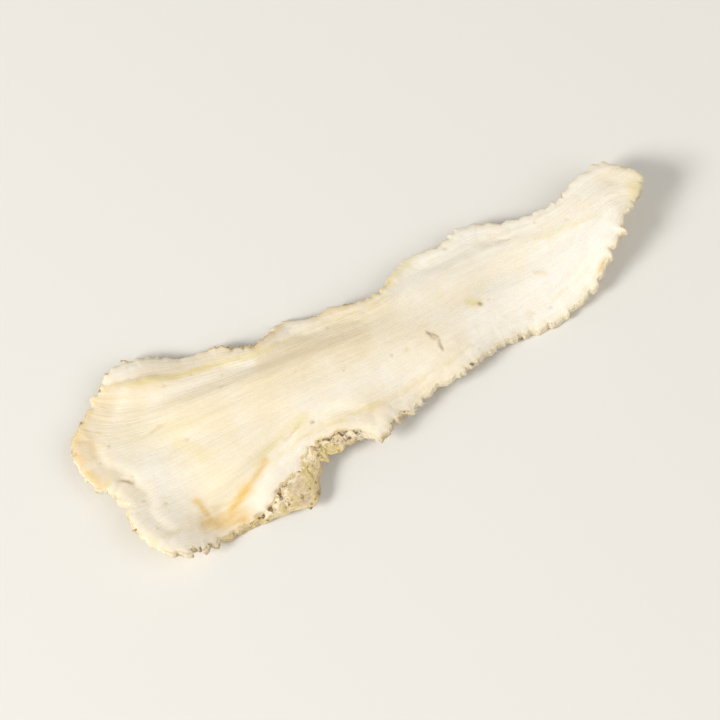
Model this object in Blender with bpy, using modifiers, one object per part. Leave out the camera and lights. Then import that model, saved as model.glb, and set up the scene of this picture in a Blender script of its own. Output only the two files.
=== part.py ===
"""Dried angelica root slice: one thin, warped lengthwise slice with ridged flesh and a jagged bark rim.

Run it with blender --background --python part.py, or from Blender's text editor.
The model is in metres with +Z up. +X runs along the slice and the camera side of the root is -Y.
The slice lies on the plane z = 0 on three low spots of its underside, and the origin is under the
middle of its bounding box. The sizes below are in millimetres, and MM turns them into metres.
"""

import random

import bmesh
import bpy
import numpy as np
from mathutils import Vector
from mathutils.geometry import delaunay_2d_cdt

MM = 0.001

# Overall sizes
THICKNESS = 1.3
RIM_THINNING = 0.22
RIM_THIN_WIDTH = 0.9

# The rim seen from above, clockwise from the upper left bulge. The slice is 73 long and 26 wide.
RIM_POINTS = (
    (-29.7, 11.0), (-26.4, 12.0), (-23.6, 11.4), (-20.5, 9.5), (-17.6, 8.9), (-16.0, 8.6),
    (-13.5, 6.6), (-12.2, 6.2), (-9.0, 7.5), (-7.5, 7.6), (-5.3, 6.1), (-2.8, 6.0), (-0.1, 4.8),
    (2.9, 4.4), (5.3, 5.9), (7.8, 6.9), (11.1, 6.4), (13.2, 6.6), (15.5, 7.2), (18.2, 6.1),
    (20.7, 4.8), (25.0, 4.0), (27.1, 4.1), (28.9, 4.9), (31.0, 5.4), (33.6, 5.3), (35.3, 3.5),
    (36.5, 1.4), (35.1, -0.5), (32.8, -1.8), (31.1, -2.6), (30.8, -3.7), (28.8, -4.5),
    (28.5, -5.3), (26.7, -6.1), (25.4, -7.2), (23.0, -7.7), (19.0, -8.4), (16.1, -7.8),
    (13.2, -7.6), (9.9, -8.0), (5.5, -8.8), (3.0, -8.5), (-0.2, -9.3), (-3.7, -10.2),
    (-6.0, -10.9), (-7.3, -9.6), (-10.1, -8.2), (-13.8, -8.3), (-15.5, -9.8), (-17.9, -10.2),
    (-20.2, -11.5), (-23.9, -11.8), (-27.4, -12.0), (-30.6, -11.9), (-32.9, -10.6),
    (-34.2, -8.2), (-34.6, -5.1), (-33.9, -3.7), (-34.7, -2.4), (-34.6, -1.3), (-35.6, -0.9),
    (-36.3, 1.2), (-36.5, 3.4), (-35.9, 6.0), (-34.1, 7.7), (-31.9, 9.1),
)
RIM_STEPS = 12

# Torn fibres round the rim: the distance from tooth to tooth, how far a tooth stands out, how deep
# the notch beside it is as a share of that, and where between notches the tip is. Ragged and calm
# stretches take turns along the rim, counted from the calm corner where the bark wall begins.
TOOTH_PITCH = (0.8, 2.3)
TOOTH_DEPTH = (0.10, 0.50)
NOTCH_SHARE = 0.55
TOOTH_LEAN = (0.25, 0.75)
TOOTH_SEED = 11
RAGGED_LENGTH = 15.6
CALM_STATION = 120.0
CALM_SHARE = 0.3
RIM_SMOOTHING = 0.8

# How closely the faces are divided, and the rows that follow the rim inside it
GRID_STEP = 0.92
RIM_ROWS = (0.75, 1.5, 2.3)
ROW_KEPT = 0.94

# The warp of dried root. A long bow: its height, middle and half length. Both ends curl up: where
# the curl starts and ends along X, and its height. An arch across the slice: its half width, its
# depth at the ends, and the middle, reach and height of its deeper stretch. Its ridge line: Y at
# x = 0, and slope. The near left corner curls up. The whole slice leans along X and Y.
BOW_HEIGHT = 3.4
BOW_MIDDLE = -2.1
BOW_REACH = 31.0
RIGHT_CURL = (14.0, 43.0, 7.6)
LEFT_CURL = (-25.0, -39.0, 2.9)
ARCH_WIDTH = 10.5
ARCH_ENDS = 2.2
ARCH_MIDDLE = (2.9, 18.0, 1.2)
RIDGE_LINE = (1.65, -0.03)
CORNER_CURL = ((-18.0, -33.0), (-1.3, -12.3), 2.4)
LEAN = (-0.0114, -0.1594)

# The ruffle of both long edges: wave length, skew, height, and how far from the middle it is full
RUFFLE = (13.0, 0.03, 0.35, 9.0)

# Broad swells and hollows: middle x and y, reach along x and y, height
SWELLS = (
    (-28.1, 12.8, 9.0, 6.0, 3.0),
    (-7.1, 9.3, 8.0, 4.5, -1.5),
    (16.9, 9.8, 10.0, 5.5, 1.3),
    (-6.1, -10.2, 7.0, 4.0, 0.9),
    (19.9, -8.7, 8.0, 4.0, -1.7),
)

# Ridges and furrows of the flesh: start, end, half width, height
FOLDS = (
    ((-32.5, 10.0), (-8.5, 4.0), 1.3, 0.36),
    ((-30.0, 7.0), (7.0, 0.9), 1.7, -0.34),
    ((-26.0, 4.4), (2.0, -0.9), 1.2, 0.28),
    ((-31.0, 1.0), (-14.0, -2.4), 1.5, -0.22),
    ((-6.0, 2.6), (31.0, 2.2), 1.4, 0.30),
    ((-2.0, -1.0), (29.0, -0.9), 1.3, -0.26),
    ((1.0, -4.3), (25.0, -4.2), 1.5, 0.26),
    ((-26.5, -7.0), (-9.5, -3.6), 1.3, 0.34),
    ((-26.8, -9.4), (-14.0, -5.0), 1.0, -0.36),
)

# A low lip round the rim: its half width and height. Inside it is the shallow groove where bark
# meets wood: its distance from the rim, half width and depth.
LIP = (0.75, 0.12)
GROOVE = (2.3, 0.7, 0.14)

# The slanted bark wall of the near edge: how far the lower face stands out past the upper one, in
# which direction, the stretch along X where it rises, is full, falls and ends, and how far it
# reaches under the slice. Its flap stands out further: the middle and reach along X, and how much.
# Elsewhere the wall slants the same way a little.
BARK_SLANT = 1.9
BARK_FLAP = (-16.9, 2.4, 2.0)
BARK_DIRECTION = (0.26, -0.97)
BARK_STRETCH = (-24.0, -17.0, -11.5, -5.0)
BARK_REACH = 3.2
WALL_SLANT = 0.3

# The slice rests on three flat spots of its underside: their middles, how far each one is flat and
# how far it eases away. RAISE lifts the sheet until its lowest teeth only just reach the floor.
REST_SPOTS = ((-23.8, -10.9), (-7.6, 6.7), (17.6, -7.3))
REST_FLAT = 1.35
REST_REACH = 3.2
RAISE = 0.52

# From the axes that the sizes above are measured on to the origin, under the middle of the box
PLAN_SHIFT = (0.07, 0.8)

FLESH_COLOUR = (0.91, 0.84, 0.71, 1.0)
FLESH_ROUGHNESS = 0.78


def eased(low, high, value):
    """0 below low, 1 above high and a smooth rise between them; low may be the greater."""
    share = np.clip((value - low) / (high - low), 0.0, 1.0)
    return share * share * (3.0 - 2.0 * share)


def smooth_rim():
    """The rim without its teeth: a closed curve through the rim points."""
    points = np.array(RIM_POINTS)
    before, after, beyond = (np.roll(points, shift, axis=0) for shift in (1, -1, -2))
    share = np.arange(RIM_STEPS)[:, None, None] / RIM_STEPS
    curve = 0.5 * (
        2.0 * points
        + (after - before) * share
        + (2.0 * before - 5.0 * points + 4.0 * after - beyond) * share**2
        + (3.0 * points - 3.0 * after + beyond - before) * share**3
    )
    return curve.transpose(1, 0, 2).reshape(-1, 2)


def along_rim(rim, stations):
    """Points at these distances along a closed rim, and the outward direction at each."""
    closed = np.vstack([rim, rim[:1]])
    spans = np.hypot(*np.diff(closed, axis=0).T)
    marks = np.concatenate([[0.0], np.cumsum(spans)])
    points = np.column_stack([np.interp(stations, marks, closed[:, k]) for k in (0, 1)])
    ahead, behind = (
        np.column_stack([
            np.interp((stations + side) % marks[-1], marks, closed[:, k]) for k in (0, 1)
        ])
        for side in (RIM_SMOOTHING, -RIM_SMOOTHING)
    )
    forward = ahead - behind
    outward = np.column_stack([-forward[:, 1], forward[:, 0]])
    return points, outward / np.hypot(*outward.T)[:, None]


def rim_length(rim):
    return np.hypot(*(np.roll(rim, -1, axis=0) - rim).T).sum()


def toothed_rim(rim):
    """The rim with its torn fibres: a tip and a notch for each tooth, drawn by the seed."""
    draw = random.Random(TOOTH_SEED)
    whole = rim_length(rim)
    stations, offsets = [], []
    station = 0.0
    while station < whole - TOOTH_PITCH[0]:
        pitch = draw.uniform(*TOOTH_PITCH)
        ragged = 0.5 - 0.5 * np.cos(2.0 * np.pi * (station - CALM_STATION) / RAGGED_LENGTH)
        depth = draw.uniform(*TOOTH_DEPTH) * (CALM_SHARE + (1.0 - CALM_SHARE) * ragged)
        lean = draw.uniform(*TOOTH_LEAN)
        stations += [station, station + lean * pitch]
        offsets += [-NOTCH_SHARE * depth, depth]
        station += pitch
    stations = np.array(stations)
    kept = stations < whole - 0.5 * TOOTH_PITCH[0]
    points, outward = along_rim(rim, stations[kept])
    return points + outward * np.array(offsets)[kept][:, None]


def rim_distance(points, rim):
    """The distance of each point from the smooth rim."""
    across = points[:, None, :] - rim[None, :, :]
    return np.sqrt((across**2).sum(axis=2).min(axis=1))


def inside(points, rim):
    """Whether each point is inside the rim, by counting the edges to its right."""
    start, end = rim, np.roll(rim, -1, axis=0)
    x, y = points[:, 0:1], points[:, 1:2]
    crosses = (start[:, 1] > y) != (end[:, 1] > y)
    rise = np.where(end[:, 1] == start[:, 1], 1.0, end[:, 1] - start[:, 1])
    edge_x = start[:, 0] + (y - start[:, 1]) * (end[:, 0] - start[:, 0]) / rise
    return (crosses & (x < edge_x)).sum(axis=1) % 2 == 1


def inner_points(rim):
    """Points that divide the faces: rows that follow the rim, then a hexagonal grid inside them."""
    found = []
    whole = rim_length(rim)
    for row in RIM_ROWS:
        points, outward = along_rim(rim, np.arange(0.0, whole - 0.5 * GRID_STEP, GRID_STEP))
        points = points - outward * row
        kept = inside(points, rim) & (rim_distance(points, rim) > ROW_KEPT * row)
        found.append(points[kept])
    low, high = rim.min(axis=0), rim.max(axis=0)
    rows = np.arange(low[1], high[1], GRID_STEP * np.sqrt(0.75))
    grid = np.array([
        (x + (index % 2) * 0.5 * GRID_STEP, y)
        for index, y in enumerate(rows)
        for x in np.arange(low[0], high[0], GRID_STEP)
    ])
    clear = rim_distance(grid, rim) > RIM_ROWS[-1] + 0.6 * GRID_STEP
    found.append(grid[clear & inside(grid, rim)])
    return np.vstack(found)


def fold_height(x, y, start, end, half_width, height):
    """One straight ridge, or a furrow where the height is negative, that fades at its ends."""
    run = np.array(end) - np.array(start)
    length = np.hypot(*run)
    along = ((x - start[0]) * run[0] + (y - start[1]) * run[1]) / length**2
    across = ((y - start[1]) * run[0] - (x - start[0]) * run[1]) / length
    fade = eased(-0.15, 0.25, along) * eased(1.15, 0.75, along)
    return height * fade * np.exp(-((across / half_width) ** 2))


def sheet_height(x, y):
    """The height of the middle of the slice, before it is lowered onto its rest spots."""
    bow = BOW_HEIGHT * (1.0 - ((x - BOW_MIDDLE) / BOW_REACH) ** 2)
    for low, high, height in (RIGHT_CURL, LEFT_CURL):
        bow = bow + height * eased(low, high, x)
    middle, reach, extra = ARCH_MIDDLE
    arch = ARCH_ENDS + extra * np.exp(-(((x - middle) / reach) ** 2))
    ridge = RIDGE_LINE[0] + RIDGE_LINE[1] * x
    height = bow - arch * ((y - ridge) / ARCH_WIDTH) ** 2
    (x_low, x_high), (y_low, y_high), lift = CORNER_CURL
    height = height + lift * eased(x_low, x_high, x) * eased(y_low, y_high, y)
    for mid_x, mid_y, reach_x, reach_y, swell in SWELLS:
        away = ((x - mid_x) / reach_x) ** 2 + ((y - mid_y) / reach_y) ** 2
        height = height + swell * np.exp(-away)
    wave, skew, depth, reach = RUFFLE
    edge = np.clip(np.abs(y) / reach, 0.0, 1.3) ** 2
    height = height + depth * edge * np.sin(2.0 * np.pi * (x / wave + skew * y))
    return height + LEAN[0] * x + LEAN[1] * y


def face_relief(x, y, distance):
    """Ridges, furrows, the lip of the rim and the groove inside it, the same on both faces."""
    relief = sum(fold_height(x, y, *fold) for fold in FOLDS) * eased(0.0, 3.0, distance)
    width, height = LIP
    relief = relief + height * eased(2.0 * width, 0.0, distance)
    middle, half_width, depth = GROOVE
    return relief - depth * np.exp(-(((distance - middle) / half_width) ** 2))


def flat_sheet(rim):
    """One flat triangulated face: the toothed rim filled round the inner points."""
    edge = toothed_rim(rim)
    points = np.vstack([edge, inner_points(rim)])
    loop = [(k, (k + 1) % len(edge)) for k in range(len(edge))]
    made = delaunay_2d_cdt([Vector(point) for point in points], loop, [], 1, 1e-6)
    mesh = bpy.data.meshes.new("flat_sheet")
    mesh.from_pydata([(p.x * MM, p.y * MM, 0.0) for p in made[0]], [], made[2])
    shape = bmesh.new()
    shape.from_mesh(mesh)
    bmesh.ops.recalc_face_normals(shape, faces=shape.faces)
    if sum(face.normal.z for face in shape.faces) < 0.0:
        bmesh.ops.reverse_faces(shape, faces=shape.faces)
    shape.to_mesh(mesh)
    shape.free()
    return bpy.data.objects.new("flat_sheet", mesh)


def thickened(sheet, collection):
    """A plain mesh of the sheet given its thickness, with the same triangles on both faces."""
    collection.objects.link(sheet)
    solidify = sheet.modifiers.new("thickness", "SOLIDIFY")
    solidify.thickness = THICKNESS * MM
    solidify.offset = 0.0
    bpy.context.view_layer.update()
    graph = bpy.context.evaluated_depsgraph_get()
    mesh = bpy.data.meshes.new_from_object(sheet.evaluated_get(graph))
    bpy.data.objects.remove(sheet, do_unlink=True)
    return mesh


def slanted(x, y, lower, distance):
    """Where the lower face goes past the upper one: the bark wall and a slight slant elsewhere."""
    rise, full, fall, done = BARK_STRETCH
    middle, flap_reach, flap = BARK_FLAP
    stretch = eased(rise, full, x) * eased(done, fall, x) * (y < 0.0)
    slant = BARK_SLANT + flap * np.exp(-(((x - middle) / flap_reach) ** 2))
    reach = eased(BARK_REACH, 0.0, distance)
    out = (slant * stretch + WALL_SLANT * (1.0 - stretch)) * reach * lower
    return x + BARK_DIRECTION[0] * out, y + BARK_DIRECTION[1] * out


def shape_faces(mesh, rim):
    """Moves every vertex of the flat plate to the warped, ridged surface that it belongs to."""
    count = len(mesh.vertices)
    flat = np.empty(count * 3)
    mesh.vertices.foreach_get("co", flat)
    x, y, side = (flat.reshape(-1, 3) / MM).T
    lower = side < 0.0
    plan = np.column_stack([x, y])
    distance = rim_distance(plan, rim) * inside(plan, rim)
    half = 0.5 * (THICKNESS - RIM_THINNING * eased(RIM_THIN_WIDTH, 0.0, distance))
    z = sheet_height(x, y) + face_relief(x, y, distance) + np.where(lower, -half, half)
    z = np.where(lower, np.maximum(z + RAISE, 0.0), z + RAISE)
    for mid_x, mid_y in REST_SPOTS:
        z = z * (1.0 - eased(REST_REACH, REST_FLAT, np.hypot(x - mid_x, y - mid_y)) * lower)
    x, y = slanted(x, y, lower, distance)
    moved = np.column_stack([x + PLAN_SHIFT[0], y + PLAN_SHIFT[1], z]) * MM
    mesh.vertices.foreach_set("co", moved.ravel())
    mesh.update()


def flesh_material():
    """The cream flesh of the slice."""
    material = bpy.data.materials.new("dried_flesh")
    material.use_nodes = True
    shader = material.node_tree.nodes["Principled BSDF"]
    shader.inputs["Base Color"].default_value = FLESH_COLOUR
    shader.inputs["Roughness"].default_value = FLESH_ROUGHNESS
    shader.inputs["Metallic"].default_value = 0.0
    return material


def root_slice(collection):
    """The slice, grown and cut as one piece."""
    rim = smooth_rim()
    mesh = thickened(flat_sheet(rim), collection)
    mesh.name = "root_slice"
    shape_faces(mesh, rim)
    mesh.shade_smooth()
    mesh.set_sharp_from_angle(angle=np.radians(50.0))
    mesh.materials.clear()
    mesh.materials.append(flesh_material())
    slice_object = bpy.data.objects.new("root_slice", mesh)
    collection.objects.link(slice_object)
    return slice_object


def main():
    for old in list(bpy.data.objects):
        bpy.data.objects.remove(old, do_unlink=True)
    collection = bpy.data.collections.new("dried_angelica_root_slice")
    bpy.context.scene.collection.children.link(collection)
    root_slice(collection)


main()
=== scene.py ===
"""Looks of a dried angelica root slice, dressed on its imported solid.

The slice is remade as one fine closed shell on the solid's own rim, warp and folds. Torn fibres
and flakes of bark are set along its rim by Geometry Nodes. Plan sizes are in millimetres on the
part's own axes, and MM turns them into metres.
"""

import logging
import math
import random
from dataclasses import dataclass
from enum import Enum, IntEnum

import bpy
import numpy as np
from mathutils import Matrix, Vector
from mathutils.geometry import delaunay_2d_cdt
from mathutils.kdtree import KDTree


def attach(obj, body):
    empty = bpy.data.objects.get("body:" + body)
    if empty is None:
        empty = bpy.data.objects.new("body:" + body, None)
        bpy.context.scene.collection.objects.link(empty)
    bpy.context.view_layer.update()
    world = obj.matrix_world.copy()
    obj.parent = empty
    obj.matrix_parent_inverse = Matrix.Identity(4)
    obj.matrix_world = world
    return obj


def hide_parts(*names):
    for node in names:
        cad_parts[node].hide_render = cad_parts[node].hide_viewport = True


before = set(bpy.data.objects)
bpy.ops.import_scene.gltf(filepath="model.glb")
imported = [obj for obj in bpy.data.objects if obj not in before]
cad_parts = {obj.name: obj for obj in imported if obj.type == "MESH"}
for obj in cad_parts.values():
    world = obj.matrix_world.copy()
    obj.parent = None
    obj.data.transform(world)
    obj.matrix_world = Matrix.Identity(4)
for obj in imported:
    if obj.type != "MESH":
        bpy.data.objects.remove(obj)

log = logging.getLogger("root_slice")

MM = 0.001
NODE = "root_slice"
BODY = "root"

Socket = bpy.types.NodeSocket

# The colour sockets of a Mix node, which has sockets of other types as well.
MIX_SHARE, MIX_FIRST, MIX_SECOND, MIX_COLOUR = 0, 6, 7, 2
# How the nodes are laid out in the editor.
NODES_IN_ROW, NODE_PITCH = 9, (220.0, 260.0)
# The mean of a noise's colour.
MIDDLE = (0.5, 0.5, 0.5)
# What the triangulation keeps, and how close two points are for it to join them.
INSIDE_ONLY, SAME_POINT = 1, 1e-7


class Seed(IntEnum):
    """What fixes each random pattern."""

    FIBRES = 5
    FLAKES = 9
    TEETH = 11
    NIBBLES = 31
    CHIPS = 37
    SPLITS = 41
    BARK_RUNS = 61
    FLAKE_CLUSTERS = 71
    MARK_ALONG = 83
    MARK_ASIDE = 91
    UPPER_FACE = 200
    LOWER_FACE = 300
    WALL_GRAIN = 401
    WALL_LUMPS = 431


def eased(low: float, high: float, value: np.ndarray) -> np.ndarray:
    """A smooth rise from 0 to 1.

    Args:
        low: the value where the rise starts; it may be the greater of the two.
        high: the value where it ends.
        value: where the rise is read.

    Returns:
        0 before low, 1 past high and a smooth curve between them.
    """
    share = np.clip((value - low) / (high - low), 0.0, 1.0)
    return share * share * (3.0 - 2.0 * share)


def paint(red: int, green: int, blue: int) -> tuple[float, float, float, float]:
    """A screen colour as the linear colour that shaders take.

    Args:
        red: 0 to 255.
        green: 0 to 255.
        blue: 0 to 255.

    Returns:
        Linear red, green, blue and an alpha of 1.
    """
    shares = (channel / 255.0 for channel in (red, green, blue))
    made = [s / 12.92 if s <= 0.04045 else ((s + 0.055) / 1.055) ** 2.4 for s in shares]
    return made[0], made[1], made[2], 1.0


def nearest(points: np.ndarray, targets: np.ndarray) -> tuple[np.ndarray, np.ndarray]:
    """The nearest target to each point on the plane.

    Args:
        points: where to measure from, one x and y a row.
        targets: what to measure to, one x and y a row.

    Returns:
        The distance to the nearest target, and that target's row number.
    """
    tree = KDTree(len(targets))
    for row, (x, y) in enumerate(targets.tolist()):
        tree.insert((x, y, 0.0), row)
    tree.balance()
    found = [tree.find((x, y, 0.0)) for x, y in points.tolist()]
    return np.array([hit[2] for hit in found]), np.array([hit[1] for hit in found])


def unit(vectors: np.ndarray) -> np.ndarray:
    """The same directions, each with a length of 1."""
    return vectors / np.linalg.norm(vectors, axis=-1, keepdims=True)


def write_attribute(mesh: bpy.types.Mesh, name: str, values: np.ndarray) -> None:
    """Writes a number, or a vector where values has columns, on each point of a mesh."""
    kind, field = ("FLOAT", "value") if values.ndim == 1 else ("FLOAT_VECTOR", "vector")
    made = mesh.attributes.new(name, kind, "POINT")
    made.data.foreach_set(field, values.astype(np.float32).ravel())


def put_in_scene(name: str, data: bpy.types.ID) -> bpy.types.Object:
    """A new object in the scene that holds this data."""
    made = bpy.data.objects.new(name, data)
    bpy.context.scene.collection.objects.link(made)
    return made


@dataclass(frozen=True)
class SmoothNoise:
    """Seeded noise on a plane, from -1 to 1, that changes over about one unit."""

    seed: int
    cells: int = 256
    layer_shift: float = 7.3
    layered_height: float = 1.6

    def at(self, x: np.ndarray, y: np.ndarray) -> np.ndarray:
        """Reads one layer of the noise.

        Args:
            x: first coordinate, in cells.
            y: second coordinate, in cells.

        Returns:
            The noise at each place.
        """
        table = np.random.default_rng(self.seed).uniform(-1.0, 1.0, (self.cells, self.cells))
        column, row = np.floor(x).astype(int), np.floor(y).astype(int)
        across, up = x - column, y - row
        across = across**3 * (across * (across * 6.0 - 15.0) + 10.0)
        up = up**3 * (up * (up * 6.0 - 15.0) + 10.0)
        near, far = column % self.cells, (column + 1) % self.cells
        low, high = row % self.cells, (row + 1) % self.cells
        first = table[low, near] * (1.0 - across) + table[low, far] * across
        second = table[high, near] * (1.0 - across) + table[high, far] * across
        return first * (1.0 - up) + second * up

    def layered(self, x: np.ndarray, y: np.ndarray, layers: int = 3) -> np.ndarray:
        """Several sizes of the noise together.

        Args:
            x: first coordinate, in cells of the largest layer.
            y: second coordinate, in cells of the largest layer.
            layers: how many layers, each of half the size and height of the last.

        Returns:
            The sum at each place, about -1 to 1.
        """
        total = np.zeros_like(x)
        for layer in range(layers):
            scale = 2.0**layer
            shifted = x * scale + layer * self.layer_shift
            total += SmoothNoise(self.seed + layer).at(shifted, y * scale) / scale
        return total / self.layered_height


@dataclass(frozen=True)
class RimShape:
    """The outline of the slice seen from above, clockwise from its upper left bulge.

    nibble is how long and how high the finest roughness is. chip and split are bites into the
    rim: how long they are, how strong the noise is where they start, and how deep they go.
    """

    points: tuple = (
        (-29.7, 11.0), (-26.4, 12.0), (-23.6, 11.4), (-20.5, 9.5), (-17.6, 8.9), (-16.0, 8.6),
        (-13.5, 6.6), (-12.2, 6.2), (-9.0, 7.5), (-7.5, 7.6), (-5.3, 6.1), (-2.8, 6.0),
        (-0.1, 4.8), (2.9, 4.4), (5.3, 5.9), (7.8, 6.9), (11.1, 6.4), (13.2, 6.6), (15.5, 7.2),
        (18.2, 6.1), (20.7, 4.8), (25.0, 4.0), (27.1, 4.1), (28.9, 4.9), (31.0, 5.4),
        (33.6, 5.3), (35.3, 3.5), (36.5, 1.4), (35.1, -0.5), (32.8, -1.8), (31.1, -2.6),
        (30.8, -3.7), (28.8, -4.5), (28.5, -5.3), (26.7, -6.1), (25.4, -7.2), (23.0, -7.7),
        (19.0, -8.4), (16.1, -7.8), (13.2, -7.6), (9.9, -8.0), (5.5, -8.8), (3.0, -8.5),
        (-0.2, -9.3), (-3.7, -10.2), (-6.0, -10.9), (-7.3, -9.6), (-10.1, -8.2), (-13.8, -8.3),
        (-15.5, -9.8), (-17.9, -10.2), (-20.2, -11.5), (-23.9, -11.8), (-27.4, -12.0),
        (-30.6, -11.9), (-32.9, -10.6), (-34.2, -8.2), (-34.6, -5.1), (-33.9, -3.7),
        (-34.7, -2.4), (-34.6, -1.3), (-35.6, -0.9), (-36.3, 1.2), (-36.5, 3.4), (-35.9, 6.0),
        (-34.1, 7.7), (-31.9, 9.1),
    )
    steps: int = 12
    tooth_pitch: tuple = (0.8, 2.3)
    tooth_depth: tuple = (0.10, 0.50)
    notch_share: float = 0.55
    tooth_lean: tuple = (0.25, 0.75)
    ragged_length: float = 15.6
    calm_station: float = 120.0
    calm_share: float = 0.3
    smoothing: float = 0.8
    fine_step: float = 0.14
    fine_smoothing: float = 3.0
    inset: float = 0.16
    nibble: tuple = (0.55, 0.13)
    chip: tuple = (0.85, 0.30, 0.26)
    split: tuple = (0.36, 0.42, 0.42)
    bite_power: float = 1.2
    bark_points: tuple = (46, 53)
    bark_reach: float = 2.0
    bark_calm: float = 0.65

    def smooth(self) -> np.ndarray:
        """The outline without its teeth, as a closed curve through the points."""
        points = np.array(self.points)
        before, after, beyond = (np.roll(points, shift, axis=0) for shift in (1, -1, -2))
        share = np.arange(self.steps)[:, None, None] / self.steps
        curve = 0.5 * (
            2.0 * points
            + (after - before) * share
            + (2.0 * before - 5.0 * points + 4.0 * after - beyond) * share**2
            + (3.0 * points - 3.0 * after + beyond - before) * share**3
        )
        return curve.transpose(1, 0, 2).reshape(-1, 2)

    def marks(self, rim: np.ndarray) -> np.ndarray:
        """The distance along a closed rim to each of its points, and its whole length last."""
        spans = np.hypot(*(np.roll(rim, -1, axis=0) - rim).T)
        return np.concatenate([[0.0], np.cumsum(spans)])

    def along(
        self, rim: np.ndarray, stations: np.ndarray, smoothing: float
    ) -> tuple[np.ndarray, np.ndarray]:
        """Reads a closed rim at distances along it.

        Args:
            rim: the rim's points.
            stations: distances along it from its first point.
            smoothing: how far to each side the direction is taken over.

        Returns:
            The points there, and the outward direction at each.
        """
        marks = self.marks(rim)
        closed = np.vstack([rim, rim[:1]])

        def read(places: np.ndarray) -> np.ndarray:
            """Points of the rim at these distances, wrapped round its end."""
            wrapped = places % marks[-1]
            return np.column_stack([np.interp(wrapped, marks, closed[:, k]) for k in (0, 1)])

        forward = read(stations + smoothing) - read(stations - smoothing)
        outward = np.column_stack([-forward[:, 1], forward[:, 0]])
        return read(stations), outward / np.hypot(*outward.T)[:, None]

    def ragged(self, stations: np.ndarray) -> np.ndarray:
        """How ragged the rim is at these distances along it, from 0, calm, to 1."""
        turns = (stations - self.calm_station) / self.ragged_length
        return 0.5 - 0.5 * np.cos(2.0 * np.pi * turns)

    def kept(self, stations: np.ndarray) -> np.ndarray:
        """The share of its full depth that the rim's roughness keeps at these distances."""
        return self.calm_share + (1.0 - self.calm_share) * self.ragged(stations)

    def toothed(self, rim: np.ndarray) -> np.ndarray:
        """The rim with the solid's own teeth.

        Args:
            rim: the smooth rim.

        Returns:
            A tip and a notch for each tooth, drawn by the seed.
        """
        draw = random.Random(Seed.TEETH)
        whole = self.marks(rim)[-1]
        stations, offsets = [], []
        station = 0.0
        while station < whole - self.tooth_pitch[0]:
            pitch = draw.uniform(*self.tooth_pitch)
            depth = draw.uniform(*self.tooth_depth) * self.kept(station)
            lean = draw.uniform(*self.tooth_lean)
            stations += [station, station + lean * pitch]
            offsets += [-self.notch_share * depth, depth]
            station += pitch
        stations = np.array(stations)
        kept = stations < whole - 0.5 * self.tooth_pitch[0]
        points, outward = self.along(rim, stations[kept], self.smoothing)
        return points + outward * (np.array(offsets)[kept] - self.inset)[:, None]

    def torn(self) -> np.ndarray:
        """The fine rim: the solid's teeth, nibbled, chipped and split along the fibres."""
        coarse = self.toothed(self.smooth())
        count = int(self.marks(coarse)[-1] / self.fine_step)
        stations = np.arange(count) * self.marks(coarse)[-1] / count
        points, _ = self.along(coarse, stations, self.fine_step)
        beside = np.roll(points, 1, axis=0) + np.roll(points, -1, axis=0)
        points = 0.5 * points + 0.25 * beside
        reach = self.fine_smoothing * self.fine_step
        _, outward = self.along(points, self.marks(points)[:-1], reach)
        level = np.zeros(count)
        length, height = self.nibble
        offset = height * SmoothNoise(Seed.NIBBLES).layered(stations / length, level)
        for seed, (length, least, depth) in ((Seed.CHIPS, self.chip), (Seed.SPLITS, self.split)):
            bite = np.clip(SmoothNoise(seed).at(stations / length, level) - least, 0.0, 1.0)
            offset = offset - depth * (bite / (1.0 - least)) ** self.bite_power
        amount = self.kept(stations) * (1.0 - self.bark_calm * self.barked(points))
        return points + outward * (amount * offset)[:, None]

    def barked(self, points: np.ndarray) -> np.ndarray:
        """How near points are to the stretch of the rim that the bark slants out from, 0 to 1."""
        first, last = (point * self.steps for point in self.bark_points)
        away, _ = nearest(points, self.smooth()[first:last])
        return eased(self.bark_reach, 0.0, away)


@dataclass(frozen=True)
class Fold:
    """A straight ridge of the flesh, or a furrow where its height is negative."""

    start: tuple
    end: tuple
    half_width: float
    height: float
    fade: tuple = (-0.15, 0.25)

    def at(self, x: np.ndarray, y: np.ndarray) -> np.ndarray:
        """The fold's height at each place, fading out at its two ends."""
        run_x, run_y = self.end[0] - self.start[0], self.end[1] - self.start[1]
        length = math.hypot(run_x, run_y)
        along = ((x - self.start[0]) * run_x + (y - self.start[1]) * run_y) / length**2
        across = ((y - self.start[1]) * run_x - (x - self.start[0]) * run_y) / length
        none, full = self.fade
        fade = eased(none, full, along) * eased(1.0 - none, 1.0 - full, along)
        return self.height * fade * np.exp(-((across / self.half_width) ** 2))


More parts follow.
